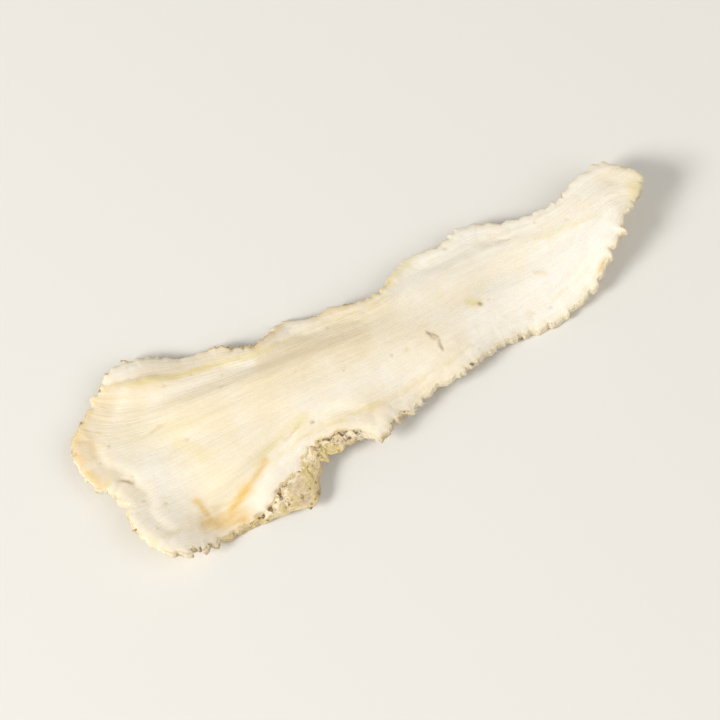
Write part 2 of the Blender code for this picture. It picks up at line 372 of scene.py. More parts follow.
@dataclass(frozen=True)
class Warp:
    """How the drying root bent, from the solid: a bow, an arch across it and two curled ends."""

    bow: tuple = (3.4, -2.1, 31.0)
    curls: tuple = ((14.0, 43.0, 7.6), (-25.0, -39.0, 2.9))
    arch_width: float = 10.5
    arch_ends: float = 2.2
    arch_middle: tuple = (2.9, 18.0, 1.2)
    ridge_line: tuple = (1.65, -0.03)
    corner_curl: tuple = ((-18.0, -33.0), (-1.3, -12.3), 2.4)
    lean: tuple = (-0.0114, -0.1594)
    ruffle: tuple = (13.0, 0.03, 0.35, 9.0)
    ruffle_limit: float = 1.3
    swells: tuple = (
        (-28.1, 12.8, 9.0, 6.0, 3.0),
        (-7.1, 9.3, 8.0, 4.5, -1.5),
        (16.9, 9.8, 10.0, 5.5, 1.3),
        (-6.1, -10.2, 7.0, 4.0, 0.9),
        (19.9, -8.7, 8.0, 4.0, -1.7),
    )
    raised: float = 0.52

    def at(self, x: np.ndarray, y: np.ndarray) -> np.ndarray:
        """The height of the middle of the slice above the floor at each place."""
        height, middle, reach = self.bow
        bow = height * (1.0 - ((x - middle) / reach) ** 2)
        for low, high, curl in self.curls:
            bow = bow + curl * eased(low, high, x)
        middle, reach, extra = self.arch_middle
        arch = self.arch_ends + extra * np.exp(-(((x - middle) / reach) ** 2))
        ridge = self.ridge_line[0] + self.ridge_line[1] * x
        made = bow - arch * ((y - ridge) / self.arch_width) ** 2
        (x_low, x_high), (y_low, y_high), lift = self.corner_curl
        made = made + lift * eased(x_low, x_high, x) * eased(y_low, y_high, y)
        for mid_x, mid_y, reach_x, reach_y, swell in self.swells:
            away = ((x - mid_x) / reach_x) ** 2 + ((y - mid_y) / reach_y) ** 2
            made = made + swell * np.exp(-away)
        wave, skew, depth, reach = self.ruffle
        edge = np.clip(np.abs(y) / reach, 0.0, self.ruffle_limit) ** 2
        made = made + depth * edge * np.sin(2.0 * np.pi * (x / wave + skew * y))
        return made + self.lean[0] * x + self.lean[1] * y + self.raised


@dataclass(frozen=True)
class Relief:
    """The ridges of the solid, and the finer ones that drying and the knife left on the flesh.

    ridge_seeds, pucker_seed and crack_seed are how far past a face's own seed their patterns are.
    """

    folds: tuple = (
        Fold((-32.5, 10.0), (-8.5, 4.0), 1.3, 0.36),
        Fold((-30.0, 7.0), (7.0, 0.9), 1.7, -0.34),
        Fold((-26.0, 4.4), (2.0, -0.9), 1.2, 0.28),
        Fold((-31.0, 1.0), (-14.0, -2.4), 1.5, -0.22),
        Fold((-6.0, 2.6), (31.0, 2.2), 1.4, 0.30),
        Fold((-2.0, -1.0), (29.0, -0.9), 1.3, -0.26),
        Fold((1.0, -4.3), (25.0, -4.2), 1.5, 0.26),
        Fold((-26.5, -7.0), (-9.5, -3.6), 1.3, 0.34),
        Fold((-26.8, -9.4), (-14.0, -5.0), 1.0, -0.36),
    )
    fold_inset: float = 3.0
    lip: tuple = (0.75, 0.12)
    groove: tuple = (2.3, 0.7, 0.14)
    ripple: tuple = (11.0, 1.3, 0.085)
    fibre: tuple = (5.0, 0.40, 0.026)
    grain: tuple = (0.5, 0.5, 0.014)
    pucker: tuple = (1.3, 3.0, 2.6, 0.085)
    pit_count: int = 22
    pit_field: tuple = (33.0, 9.5)
    pit_size: tuple = (0.10, 0.19)
    pit_stretch: float = 1.7
    pit_depth: float = 0.10
    crack_wander: tuple = (0.8, 0.22)
    cracks: tuple = (
        ((4.9, -3.0), (5.6, -4.1), 0.13, 0.20),
        ((5.6, -4.4), (5.4, -5.6), 0.13, 0.16),
        ((-15.6, -6.1), (-12.7, -5.2), 0.11, 0.10),
        ((16.0, 3.1), (20.5, 2.7), 0.10, 0.08),
        ((-28.6, 2.6), (-25.3, 2.9), 0.11, 0.08),
        ((-33.4, -0.7), (-31.6, -1.6), 0.18, 0.22),
    )
    ridge_seeds: int = 10
    pucker_seed: int = 50
    crack_seed: int = 70

    def large(self, x: np.ndarray, y: np.ndarray, distance: np.ndarray) -> np.ndarray:
        """The solid's own relief: its folds, and the lip and groove that follow the rim."""
        made = sum(fold.at(x, y) for fold in self.folds) * eased(0.0, self.fold_inset, distance)
        width, height = self.lip
        made = made + height * eased(2.0 * width, 0.0, distance)
        middle, half_width, depth = self.groove
        return made - depth * np.exp(-(((distance - middle) / half_width) ** 2))

    def fine(self, flow: "Flow", seed: int) -> np.ndarray:
        """The relief that is too fine for the solid.

        Args:
            flow: where each point is along and across the fibres.
            seed: what tells one face's pattern from the other's.

        Returns:
            The height to add at each point, without cracks and pits.
        """
        made = np.zeros_like(flow.x)
        for row, (long, wide, height) in enumerate((self.ripple, self.fibre, self.grain)):
            noise = SmoothNoise(seed + self.ridge_seeds * row)
            made += height * noise.layered(flow.x / long, flow.across / wide, 2)
        pitch, inward, reach, height = self.pucker
        noise = SmoothNoise(seed + self.pucker_seed)
        puckers = noise.layered(flow.station / pitch, flow.distance / inward, 2)
        return made + height * puckers * eased(reach, 0.0, flow.distance)

    def hollows(self, flow: "Flow", seed: int) -> tuple[np.ndarray, np.ndarray]:
        """Cracks along the fibres and small oil pits.

        Args:
            flow: where each point is along and across the fibres.
            seed: what tells one face's pits from the other's.

        Returns:
            The depth at each point, and how much of a crack or pit is there, from 0 to 1.
        """
        depth, share = np.zeros_like(flow.x), np.zeros_like(flow.x)
        size, most = self.crack_wander
        wander = most * SmoothNoise(seed + self.crack_seed).at(flow.x / size, flow.y / size)
        for start, end, half_width, crack_depth in self.cracks:
            there = Fold(start, end, half_width, 1.0).at(flow.x + wander, flow.y + wander)
            depth += crack_depth * there
            share = np.maximum(share, there)
        draw = random.Random(seed)
        for _ in range(self.pit_count):
            x, y = (draw.uniform(-reach, reach) for reach in self.pit_field)
            size = draw.uniform(*self.pit_size)
            away = ((flow.x - x) / (self.pit_stretch * size)) ** 2 + ((flow.y - y) / size) ** 2
            there = np.exp(-away)
            depth += self.pit_depth * there
            share = np.maximum(share, there)
        return depth, share


@dataclass
class Grain:
    """The run of the fibres: even lines from one long edge to the other that leave by the ends.

    last_cell is how far from the grid's end, in cells, a place is read at most.
    """

    rim: RimShape
    step: float = 0.5
    reach: tuple = (39.0, 15.0)
    upper_end: int = 26
    lower_span: tuple = (29, 55)
    sweeps: int = 4000
    outer_sweeps: int = 40
    least_weight: float = 1e-9
    last_cell: float = 1.001

    def __post_init__(self) -> None:
        """Relaxes the lines on a grid, with the rim's long edges held."""
        rim = self.rim
        self.x, self.y = (np.arange(-reach, reach, self.step) for reach in self.reach)
        places = np.stack(np.meshgrid(self.x, self.y), axis=-1)
        smooth = rim.smooth()
        _, outward = rim.along(smooth, rim.marks(smooth)[:-1], rim.smoothing)
        _, row = nearest(places.reshape(-1, 2), smooth)
        away = ((places.reshape(-1, 2) - smooth[row]) * outward[row]).sum(axis=1)
        outside = (away > 0.0).reshape(places.shape[:2])
        point = (row / rim.steps).reshape(outside.shape)
        low, high = self.lower_span
        edge = (point < self.upper_end) * 1.0 - ((point > low) & (point < high)) * 1.0
        self.value = np.where(outside, edge, 0.0)
        held = outside & (edge != 0.0)
        self.relax(~outside, (~outside | held) * 1.0, self.sweeps)
        self.relax(outside & ~held, np.ones(outside.shape), self.outer_sweeps)

    def relax(self, free: np.ndarray, weight: np.ndarray, sweeps: int) -> None:
        """Makes each free cell the mean of its neighbours, many times over.

        Args:
            free: which cells may change.
            weight: how much each cell counts for its neighbours.
            sweeps: how many times.
        """
        sides = ((0, 1), (0, -1), (1, 1), (1, -1))
        total = sum(np.roll(weight, shift, axis) for axis, shift in sides)
        total = np.maximum(total, self.least_weight)
        for _ in range(sweeps):
            weighed = self.value * weight
            around = sum(np.roll(weighed, shift, axis) for axis, shift in sides) / total
            self.value = np.where(free, around, self.value)

    def across(self, x: np.ndarray, y: np.ndarray) -> np.ndarray:
        """Which line each place is on, from -1 at the near edge to 1 at the far one."""
        column = np.clip((x - self.x[0]) / self.step, 0.0, len(self.x) - self.last_cell)
        row = np.clip((y - self.y[0]) / self.step, 0.0, len(self.y) - self.last_cell)
        left, low = column.astype(int), row.astype(int)
        right, up = column - left, row - low
        below = self.value[low, left] * (1.0 - right) + self.value[low, left + 1] * right
        above = self.value[low + 1, left] * (1.0 - right) + self.value[low + 1, left + 1] * right
        return below * (1.0 - up) + above * up


@dataclass(frozen=True)
class Flow:
    """Where points of the slice are in its own grain.

    x and y are the plan place, distance is how far inside the rim, station is how far round it,
    and across runs from one long edge to the other as the fibres do.
    """

    x: np.ndarray
    y: np.ndarray
    distance: np.ndarray
    station: np.ndarray
    across: np.ndarray

    @classmethod
    def of(cls, plan: np.ndarray, rim: RimShape, torn: np.ndarray, width: float = 9.0) -> "Flow":
        """Measures plan points against the rim.

        Args:
            plan: the points, one x and y a row.
            rim: the outline they are on.
            torn: the fine rim.
            width: the across value at a long edge, in millimetres.

        Returns:
            Their places in the grain.
        """
        distance, row = nearest(plan, torn)
        across = width * Grain(rim).across(plan[:, 0], plan[:, 1])
        return cls(plan[:, 0], plan[:, 1], distance, rim.marks(torn)[row], across)


class Stain(Enum):
    """The kinds of mark that colour the flesh. The core and warm marks also paint shade, and the
    pale ones paint light.
    """

    CORE_AND_SHADE = "core_and_painted_shade"
    PALE_AND_LIGHT = "pale_and_painted_light"
    WARM_AND_SHADE = "warm_and_painted_shade"
    STRAW = "stain_straw"
    SPECK = "stain_speck"


@dataclass(frozen=True)
class Mark:
    """A soft mark along a short line, with an uneven edge.

    unevenness has the seed and the sizes of the noise that pushes it lengthwise, then sideways.
    """

    start: tuple
    end: tuple
    half_width: float
    strength: float
    wander: float = 0.35
    least: float = 1e-6
    unevenness: tuple = ((Seed.MARK_ALONG, 1.6, 1.1), (Seed.MARK_ASIDE, 1.3, 1.3))

    def at(self, flow: Flow) -> np.ndarray:
        """How strong the mark is at each point."""
        reach = self.wander * self.half_width
        push, nudge = (
            SmoothNoise(seed).layered(flow.x / long, flow.y / wide) * reach
            for seed, long, wide in self.unevenness
        )
        run_x, run_y = self.end[0] - self.start[0], self.end[1] - self.start[1]
        off_x, off_y = flow.x + push - self.start[0], flow.y + nudge - self.start[1]
        length = max(run_x**2 + run_y**2, self.least)
        share = np.clip((off_x * run_x + off_y * run_y) / length, 0.0, 1.0)
        away = (off_x - share * run_x) ** 2 + (off_y - share * run_y) ** 2
        return self.strength * np.exp(-away / self.half_width**2)


# The marks of each kind: start, end, half width and strength. Core and warm marks also paint shade,
# and pale marks paint light.
MARKS = {
    # The beige wood core, and painted shade in the valley of the upper middle and along the upper
    # rim.
    Stain.CORE_AND_SHADE: (
        ((-24.0, 5.6), (-6.0, 1.6), 2.3, 0.52), ((-12.5, 2.2), (-3.0, 1.2), 3.2, 0.78),
        ((-2.0, 1.2), (10.0, 1.8), 2.2, 0.30), ((-16.0, -3.6), (0.0, -3.4), 3.2, 0.26),
        ((-23.0, 2.2), (-7.0, -0.6), 2.6, 0.36), ((-2.0, -1.5), (5.0, -4.5), 2.8, 0.20),
        ((-12.6, -6.4), (-8.6, -7.9), 1.2, 0.50), ((-28.2, 7.0), (-29.2, 4.0), 2.0, 0.24),
        ((-20.5, -2.6), (-18.0, -6.0), 2.0, 0.20), ((-19.5, -9.8), (-14.0, -8.0), 1.2, 0.30),
        ((-28.6, 9.6), (-32.6, 8.2), 1.2, 0.50), ((-31.0, 9.0), (-16.0, 7.2), 1.6, 0.25),
        ((-27.0, -1.6), (-20.0, -3.0), 2.2, 0.22),
    ),
    # The whiter cortex, and painted light that brightens the right lobe and the lower left where
    # the lamps leave them darker.
    Stain.PALE_AND_LIGHT: (
        ((-25.0, 6.2), (-14.0, 4.2), 0.8, 0.6), ((-24.2, -10.8), (-14.5, -8.2), 0.9, 0.20),
        ((-29.8, -0.8), (-28.4, -4.6), 2.2, 0.70), ((-31.6, -5.8), (-29.4, -8.2), 2.8, 0.60),
        ((-12.0, -3.5), (4.0, -6.6), 2.0, 0.55), ((11.0, -5.4), (28.0, -2.0), 4.0, 1.0),
        ((6.0, 3.6), (12.0, 4.4), 2.4, 0.8), ((10.5, 1.6), (20.0, 2.8), 2.2, 0.75),
        ((12.0, 4.4), (30.0, 3.2), 2.4, 0.65),
    ),
    # Orange-tan streaks at the lower left, and painted golden shade and bounce light along the left
    # and upper rims.
    Stain.WARM_AND_SHADE: (
        ((-18.2, -6.8), (-21.4, -8.5), 0.45, 0.80), ((-21.4, -8.5), (-24.4, -9.9), 0.70, 0.95),
        ((-27.0, -6.9), (-26.5, -10.0), 0.48, 0.80), ((-27.2, -9.7), (-23.2, -10.9), 1.15, 0.85),
        ((-35.0, 6.6), (-36.3, 2.4), 1.0, 0.60), ((-33.6, 7.2), (-34.5, 3.2), 1.2, 0.44),
        ((-36.0, 1.8), (-35.2, -0.3), 0.9, 0.75), ((-31.3, 9.4), (-33.4, 7.6), 0.8, 0.45),
        ((-30.2, 8.7), (-32.2, 6.0), 1.4, 0.26), ((-28.6, -9.2), (-26.6, -10.8), 1.2, 0.25),
        ((-34.4, 2.6), (-35.0, -0.2), 1.4, 0.20), ((-6.0, -8.4), (5.0, -7.3), 0.9, 0.18),
        ((-28.0, 8.8), (-15.0, 7.0), 1.4, 0.12), ((-12.6, 5.9), (-8.6, 7.1), 0.7, 0.50),
        ((-4.8, 5.8), (1.5, 4.3), 0.7, 0.42), ((1.5, 4.2), (4.4, 5.0), 0.5, 0.60),
        ((-32.7, 5.8), (-32.4, 5.5), 0.30, 0.5), ((19.7, -2.6), (20.4, -3.2), 0.35, 0.35),
        ((26.2, -6.1), (27.2, -5.7), 0.40, 0.8),
    ),
    Stain.STRAW: (
        ((11.0, -2.0), (12.0, -2.6), 0.60, 0.9), ((-13.4, -5.2), (-12.2, -4.8), 0.6, 0.7),
        ((-25.6, 0.2), (-23.6, -2.8), 0.9, 0.45), ((-27.0, 8.6), (-11.0, 4.7), 0.38, 0.65),
        ((-19.5, -6.6), (-12.5, -4.4), 0.35, 0.45), ((3.2, 4.2), (8.0, 6.2), 0.8, 0.5),
        ((22.0, 0.9), (29.0, -0.4), 0.4, 0.4), ((34.6, 0.8), (34.2, -0.9), 0.6, 0.6),
        ((-31.0, 3.6), (-24.0, 1.9), 1.4, 0.25),
    ),
    Stain.SPECK: (
        ((-1.3, 5.1), (-0.3, 4.7), 0.20, 0.7), ((12.0, -2.8), (12.1, -2.9), 0.20, 1.0),
        ((-0.1, -3.5), (0.0, -3.5), 0.14, 0.5), ((-11.7, -5.7), (-11.5, -5.7), 0.16, 0.8),
        ((-32.4, 3.5), (-32.4, 3.5), 0.15, 0.6), ((4.9, -3.0), (5.6, -4.1), 0.15, 0.85),
        ((5.6, -4.4), (5.4, -5.6), 0.15, 0.65), ((-32.9, -0.9), (-31.9, -1.5), 0.20, 0.40),
        ((-18.8, -10.4), (-18.5, -10.8), 0.30, 0.95), ((-20.5, -11.3), (-20.2, -11.4), 0.24, 0.8),
        ((-21.8, -11.5), (-21.3, -11.6), 0.28, 0.8), ((-14.4, -8.9), (-12.9, -8.2), 0.18, 0.7),
        ((-11.4, -8.1), (-9.6, -8.1), 0.18, 0.6), ((-9.7, -8.2), (-8.9, -8.6), 0.26, 0.8),
        ((-8.0, -9.0), (-7.6, -9.3), 0.22, 0.6),
    ),
}


class Graph:
    """A shader or geometry node tree that is built with few words."""

    def __init__(self, tree: bpy.types.NodeTree) -> None:
        """Empties the tree and keeps it."""
        self.tree = tree
        tree.nodes.clear()

    def add(self, kind: str, inputs: dict | None = None, **settings: object) -> bpy.types.Node:
        """Adds a node.

        Args:
            kind: the node's type name.
            inputs: what its sockets get.
            settings: the node's own properties.

        Returns:
            The node.
        """
        node = self.tree.nodes.new(kind)
        row, column = divmod(len(self.tree.nodes), NODES_IN_ROW)
        node.location = (NODE_PITCH[0] * column, -NODE_PITCH[1] * row)
        for name, value in settings.items():
            setattr(node, name, value)
        self.feed(node, inputs or {})
        return node

    def feed(self, node: bpy.types.Node, inputs: dict) -> None:
        """Gives a node's sockets, by name or number, a value or a socket to link from."""
        for name, value in inputs.items():
            if isinstance(value, Socket):
                self.tree.links.new(value, node.inputs[name])
            else:
                node.inputs[name].default_value = value

    def math(self, operation: str, first: float | Socket, second: float | Socket = 0.0) -> Socket:
        """Two numbers or sockets put together by a Math node."""
        return self.add("ShaderNodeMath", {0: first, 1: second}, operation=operation).outputs[0]

    def plus(self, first: float | Socket, second: float | Socket) -> Socket:
        """The sum of two numbers or sockets."""
        return self.math("ADD", first, second)

    def minus(self, first: float | Socket, second: float | Socket) -> Socket:
        """The first of two numbers or sockets less the second."""
        return self.math("SUBTRACT", first, second)

    def times(self, first: float | Socket, second: float | Socket) -> Socket:
        """The product of two numbers or sockets."""
        return self.math("MULTIPLY", first, second)

    def mix(self, share: float | Socket, first: tuple | Socket, second: tuple | Socket) -> Socket:
        """A colour between two, by a share of the second."""
        inputs = {MIX_SHARE: share, MIX_FIRST: first, MIX_SECOND: second}
        return self.add("ShaderNodeMix", inputs, data_type="RGBA").outputs[MIX_COLOUR]

    def span(
        self, value: Socket, low: float | Socket, high: float | Socket, smooth: bool = True
    ) -> Socket:
        """0 to 1 as a value goes from low to high."""
        inputs = {"Value": value, "From Min": low, "From Max": high}
        kind = "SMOOTHSTEP" if smooth else "LINEAR"
        return self.add("ShaderNodeMapRange", inputs, interpolation_type=kind).outputs["Result"]

    def between(self, share: Socket, ends: tuple) -> Socket:
        """A number between two, by a share of the second."""
        inputs = {"Value": share, "To Min": ends[0], "To Max": ends[1]}
        return self.add("ShaderNodeMapRange", inputs).outputs["Result"]

    def scaled(self, vector: Socket, scale: float | Socket) -> Socket:
        """A vector times a number."""
        inputs = {"Vector": vector, "Scale": scale}
        return self.add("ShaderNodeVectorMath", inputs, operation="SCALE").outputs["Vector"]

    def in_cells(self, place: Socket, size: float | Socket) -> Socket:
        """A place counted in cells of this size."""
        return self.scaled(place, self.math("DIVIDE", 1.0, size))

    def noise(self, place: Socket, detail: float, roughness: float) -> Socket:
        """Noise from 0 to 1 that changes over about one cell."""
        inputs = {"Vector": place, "Scale": 1.0, "Detail": detail, "Roughness": roughness}
        return self.add("ShaderNodeTexNoise", inputs).outputs["Fac"]

    def attribute(self, name: str, vector: bool = False) -> Socket:
        """The mesh's own value of that name, as a number or a vector."""
        node = self.add("ShaderNodeAttribute", attribute_name=name)
        return node.outputs["Vector" if vector else "Fac"]

    def carried(self, name: str, kind: str) -> Socket:
        """In a geometry tree, what its points carry under this name."""
        node = self.add("GeometryNodeInputNamedAttribute", {"Name": name}, data_type=kind)
        return node.outputs["Attribute"]

    def inputs_given(self) -> dict:
        """The tree's own inputs by name."""
        return dict(self.add("NodeGroupInput").outputs.items())

    def place_in_mm(self) -> Socket:
        """The place on the object in millimetres, for patterns of a real size."""
        place = self.add("ShaderNodeTexCoord").outputs["Object"]
        scale = (1.0 / MM, 1.0 / MM, 1.0 / MM)
        return self.add("ShaderNodeMapping", {"Vector": place, "Scale": scale}).outputs["Vector"]

    def effect(self, group: bpy.types.NodeTree, **inputs: float | Socket) -> Socket:
        """What a shared effect puts out with these values in its named inputs."""
        return self.add("ShaderNodeGroup", inputs, node_tree=group).outputs[0]


def new_group(
    name: str, place: str, numbers: dict, output: str, kind: str = "NodeSocketFloat"
) -> tuple[Graph, dict, bpy.types.Node]:
    """Starts a shader node group.

    Args:
        name: the group's name.
        place: its one vector input.
        numbers: its number inputs, each with its starting value.
        output: its one output.
        kind: the output's socket type.

    Returns:
        The group's graph, its inputs by name, and its output node.
    """
    tree = bpy.data.node_groups.new(name, "ShaderNodeTree")
    tree.interface.new_socket(place, in_out="INPUT", socket_type="NodeSocketVector")
    for number, value in numbers.items():
        made = tree.interface.new_socket(number, in_out="INPUT", socket_type="NodeSocketFloat")
        made.default_value = value
    tree.interface.new_socket(output, in_out="OUTPUT", socket_type=kind)
    graph = Graph(tree)
    return graph, graph.inputs_given(), graph.add("NodeGroupOutput")


class Effects:
    """The shader node groups that the flesh and the bark share."""

    def __init__(self) -> None:
        """Builds each group once."""
        self.streaks = self.build_streaks()
        self.blotches = self.build_blotches()
        self.specks = self.build_specks()
        self.crumb = self.build_crumb()

    def build_streaks(self) -> bpy.types.NodeTree:
        """Fibres that run with the grain: a mask from a stretched noise."""
        numbers = {"Length": 6.0, "Width": 0.4, "Low": 0.4, "High": 0.7}
        graph, given, out = new_group("fibre_streaks", "Flow", numbers, "Mask")
        parts = graph.add("ShaderNodeSeparateXYZ", {0: given["Flow"]}).outputs
        along = graph.math("DIVIDE", parts["X"], given["Length"])
        across = graph.math("DIVIDE", parts["Y"], given["Width"])
        place = graph.add("ShaderNodeCombineXYZ", {"X": along, "Y": across}).outputs[0]
        noise = graph.noise(place, detail=4.0, roughness=0.6)
        graph.feed(out, {"Mask": graph.span(noise, given["Low"], given["High"], smooth=False)})
        return graph.tree

    def build_blotches(self) -> bpy.types.NodeTree:
        """Broad uneven patches: a mask from a plain noise."""
        numbers = {"Size": 4.0, "Low": 0.35, "High": 0.65}
        graph, given, out = new_group("uneven_blotches", "Place", numbers, "Mask")
        place = graph.in_cells(given["Place"], given["Size"])
        noise = graph.noise(place, detail=5.0, roughness=0.55)
        graph.feed(out, {"Mask": graph.span(noise, given["Low"], given["High"])})
        return graph.tree

    def build_specks(self) -> bpy.types.NodeTree:
        """Small round spots, few and far between: a mask from a cell pattern."""
        numbers = {"Size": 1.2, "Share": 0.2, "Radius": 0.12, "Core": 0.35}
        graph, given, out = new_group("oil_specks", "Place", numbers, "Mask")
        place = graph.in_cells(given["Place"], given["Size"])
        cells = graph.add("ShaderNodeTexVoronoi", {"Vector": place, "Scale": 1.0}).outputs
        core = graph.times(given["Radius"], given["Core"])
        spot = graph.span(cells["Distance"], given["Radius"], core)
        chance = graph.add("ShaderNodeSeparateColor", {0: cells["Color"]}).outputs[0]
        kept = graph.math("LESS_THAN", chance, given["Share"])
        graph.feed(out, {"Mask": graph.times(spot, kept)})
        return graph.tree

    def build_crumb(self) -> bpy.types.NodeTree:
        """The dry surface itself: a bumped normal from fine grain and fibres."""
        numbers = {"Fibres": 0.0, "Grain": 0.25, "Depth": 0.02}
        graph, given, out = new_group("dry_crumb", "Place", numbers, "Normal", "NodeSocketVector")
        place = graph.in_cells(given["Place"], given["Grain"])
        height = graph.plus(graph.noise(place, detail=6.0, roughness=0.65), given["Fibres"])
        inputs = {"Strength": 1.0, "Distance": graph.times(given["Depth"], MM), "Height": height}
        bump = graph.add("ShaderNodeBump", inputs)
        graph.feed(out, {"Normal": bump.outputs["Normal"]})
        return graph.tree


def start_material(name: str) -> tuple[bpy.types.Material, Graph, bpy.types.Node]:
    """Starts a material.

    Args:
        name: the finish's name.

    Returns:
        The material, its graph and its Principled shader.
    """
    material = bpy.data.materials.new(name)
    material.use_nodes = True
    graph = Graph(material.node_tree)
    shader = graph.add("ShaderNodeBsdfPrincipled")
    graph.add("ShaderNodeOutputMaterial", {"Surface": shader.outputs["BSDF"]})
    return material, graph, shader


@dataclass(frozen=True)
class FleshFinish:
    """The cut flesh: dry, cream and matt, with fibres, a beige core that is partly painted shade,
    and a paler rind.

    For a pattern, its size in millimetres comes first and how much of it shows comes last.
    ring_edge and bark_edge start with where a soft edge begins and where it ends.
    """

    name: str = "cut_flesh"
    cream: tuple = paint(250, 241, 223)
    warm_cream: tuple = paint(247, 232, 199)
    fibre: tuple = paint(236, 217, 174)
    # Beige of the wood core, also laid on as painted shade by the core marks.
    core: tuple = paint(224, 204, 163)
    # Whiter cortex, also laid on as painted light by the pale marks.
    pale: tuple = paint(255, 248, 236)
    straw: tuple = paint(236, 219, 150)
    # Orange-tan of the streaks at the lower left, also laid on as painted golden shade on the rims
    # by the warm marks.
    warm: tuple = paint(226, 182, 78)
    brown: tuple = paint(122, 84, 42)
    ring: tuple = paint(232, 212, 150)
    edge: tuple = paint(206, 165, 96)
    warm_patches: tuple = (5.5, 0.75)
    fibres: tuple = ((9.0, 0.75, 0.30), (4.0, 0.2, 0.20))
    cambium: float = 6.9
    cambium_waves: tuple = (1.8, 0.6)
    rind: tuple = (0.9, 0.38)
    ring_breaks: tuple = (3.1, 0.55)
    ring_edge: tuple = (0.08, 0.50)
    stain_streaks: tuple = (3.0, 0.3, 0.35)
    oil_spots: tuple = (1.9, 0.08, 0.35)
    hollow_share: float = 0.35
    bark_crumbs: tuple = (0.7, 0.5)
    bark_least: float = 0.25
    bark_edge: tuple = (-0.10, 0.16, 0.70)
    thin_rim: tuple = (0.8, 0.22)
    underside_share: float = 0.30
    bump: float = 0.030
    roughness: tuple = (0.66, 0.86)
    specular: float = 0.35
    subsurface: float = 0.10
    subsurface_radius: tuple = (1.0, 0.75, 0.45)
    subsurface_reach: float = 0.6

    def material(self, effects: Effects) -> bpy.types.Material:
        """Builds the finish.

        Args:
            effects: the shared node groups.

        Returns:
            The material.
        """
        material, graph, shader = start_material(self.name)
        place, flow = graph.place_in_mm(), graph.attribute("flow", vector=True)
        colour, fibres = self.grown_colour(graph, effects, place, flow)
        colour = self.stained(graph, effects, colour, place, flow)
        colour = self.rimmed(graph, effects, colour, place)
        normal = graph.effect(effects.crumb, Place=place, Fibres=fibres, Depth=self.bump)
        graph.feed(
            shader,
            {
                "Base Color": colour,
                "Roughness": graph.between(fibres, self.roughness),
                "Normal": normal,
                "Subsurface Weight": self.subsurface,
                "Subsurface Radius": self.subsurface_radius,
                "Subsurface Scale": self.subsurface_reach * MM,
                "Specular IOR Level": self.specular,
            },
        )
        return material

    def grown_colour(
        self, graph: Graph, effects: Effects, place: Socket, flow: Socket
    ) -> tuple[Socket, Socket]:
        """The colour that the flesh grew with: cream patches, fibres, cambium lines and rind.

        Args:
            graph: the material's graph.
            effects: the shared node groups.
            place: the place in millimetres.
            flow: the place along and across the grain.

        Returns:
            The colour, and the mask of the finest fibres.
        """
        size, share = self.warm_patches
        patches = graph.effect(effects.blotches, Place=place, Size=size)
        colour = graph.mix(graph.times(patches, share), self.cream, self.warm_cream)
        for length, width, share in self.fibres:
            fibres = graph.effect(effects.streaks, Flow=flow, Length=length, Width=width)
            colour = graph.mix(graph.times(fibres, share), colour, self.fibre)
        size, share = self.cambium_waves
        waves = graph.times(graph.effect(effects.blotches, Place=place, Size=size), share)
        across = graph.add("ShaderNodeSeparateXYZ", {0: flow}).outputs["Y"]
        out = graph.plus(graph.math("ABSOLUTE", across), waves)
        blend, share = self.rind
        rind = graph.span(out, self.cambium - blend, self.cambium + blend)
        colour = graph.mix(graph.times(rind, share), colour, self.pale)
        off_ring = graph.math("ABSOLUTE", graph.minus(out, self.cambium))
        ring = graph.minus(1.0, graph.span(off_ring, *self.ring_edge))
        size, share = self.ring_breaks
        broken = graph.times(graph.effect(effects.blotches, Place=place, Size=size), share)
        return graph.mix(graph.times(ring, broken), colour, self.ring), fibres

    def stained(
        self, graph: Graph, effects: Effects, colour: Socket, place: Socket, flow: Socket
    ) -> Socket:
        """The stains and oil spots that drying left, with the painted shade of the core and warm
        marks and the painted light of the pale ones, and a darker tan in the hollows that is partly
        painted shade.

        Args:
            graph: the material's graph.
            effects: the shared node groups.
            colour: the colour so far.
            place: the place in millimetres.
            flow: the place along and across the grain.

        Returns:
            The colour with its stains.
        """
        length, width, share = self.stain_streaks
        streaks = graph.effect(effects.streaks, Flow=flow, Length=length, Width=width)
        uneven = graph.plus(1.0 - share, graph.times(streaks, share))
        tints = {
            Stain.CORE_AND_SHADE: self.core,
            Stain.PALE_AND_LIGHT: self.pale,
            Stain.STRAW: self.straw,
            Stain.WARM_AND_SHADE: self.warm,
            Stain.SPECK: self.brown,
        }
        # The core and warm marks also paint shade, and the pale marks paint light.
        for stain, tint in tints.items():
            colour = graph.mix(graph.times(graph.attribute(stain.value), uneven), colour, tint)
        size, cells, share = self.oil_spots
        spots = graph.effect(effects.specks, Place=place, Size=size, Share=cells)
        colour = graph.mix(graph.times(spots, share), colour, self.edge)
        # A darker tan in the hollows: partly painted shade in the cracks, and the oil's brown in
        # the pits.
        sunk = graph.times(graph.attribute("hollow"), self.hollow_share)
        return graph.mix(sunk, colour, self.edge)

    def rimmed(self, graph: Graph, effects: Effects, colour: Socket, place: Socket) -> Socket:
        """The tan of the very edge where bark is left, the thin rim, and the duller underside.

        Args:
            graph: the material's graph.
            effects: the shared node groups.
            colour: the colour so far.
            place: the place in millimetres.

        Returns:
            The finished colour.
        """
        inward = graph.attribute("rim_distance")
        size, reach = self.bark_crumbs
        crumbs = graph.times(graph.effect(effects.blotches, Place=place, Size=size), reach)
        barked = graph.minus(graph.attribute("skin"), self.bark_least)
        low, high, share = self.bark_edge
        tan = graph.span(graph.minus(graph.times(crumbs, barked), inward), low, high)
        colour = graph.mix(graph.times(tan, share), colour, self.edge)
        width, share = self.thin_rim
        thin = graph.minus(1.0, graph.span(inward, 0.0, width))
        colour = graph.mix(graph.times(thin, share), colour, self.ring)
        under = graph.times(graph.attribute("underside"), self.underside_share)
        return graph.mix(under, colour, self.fibre)


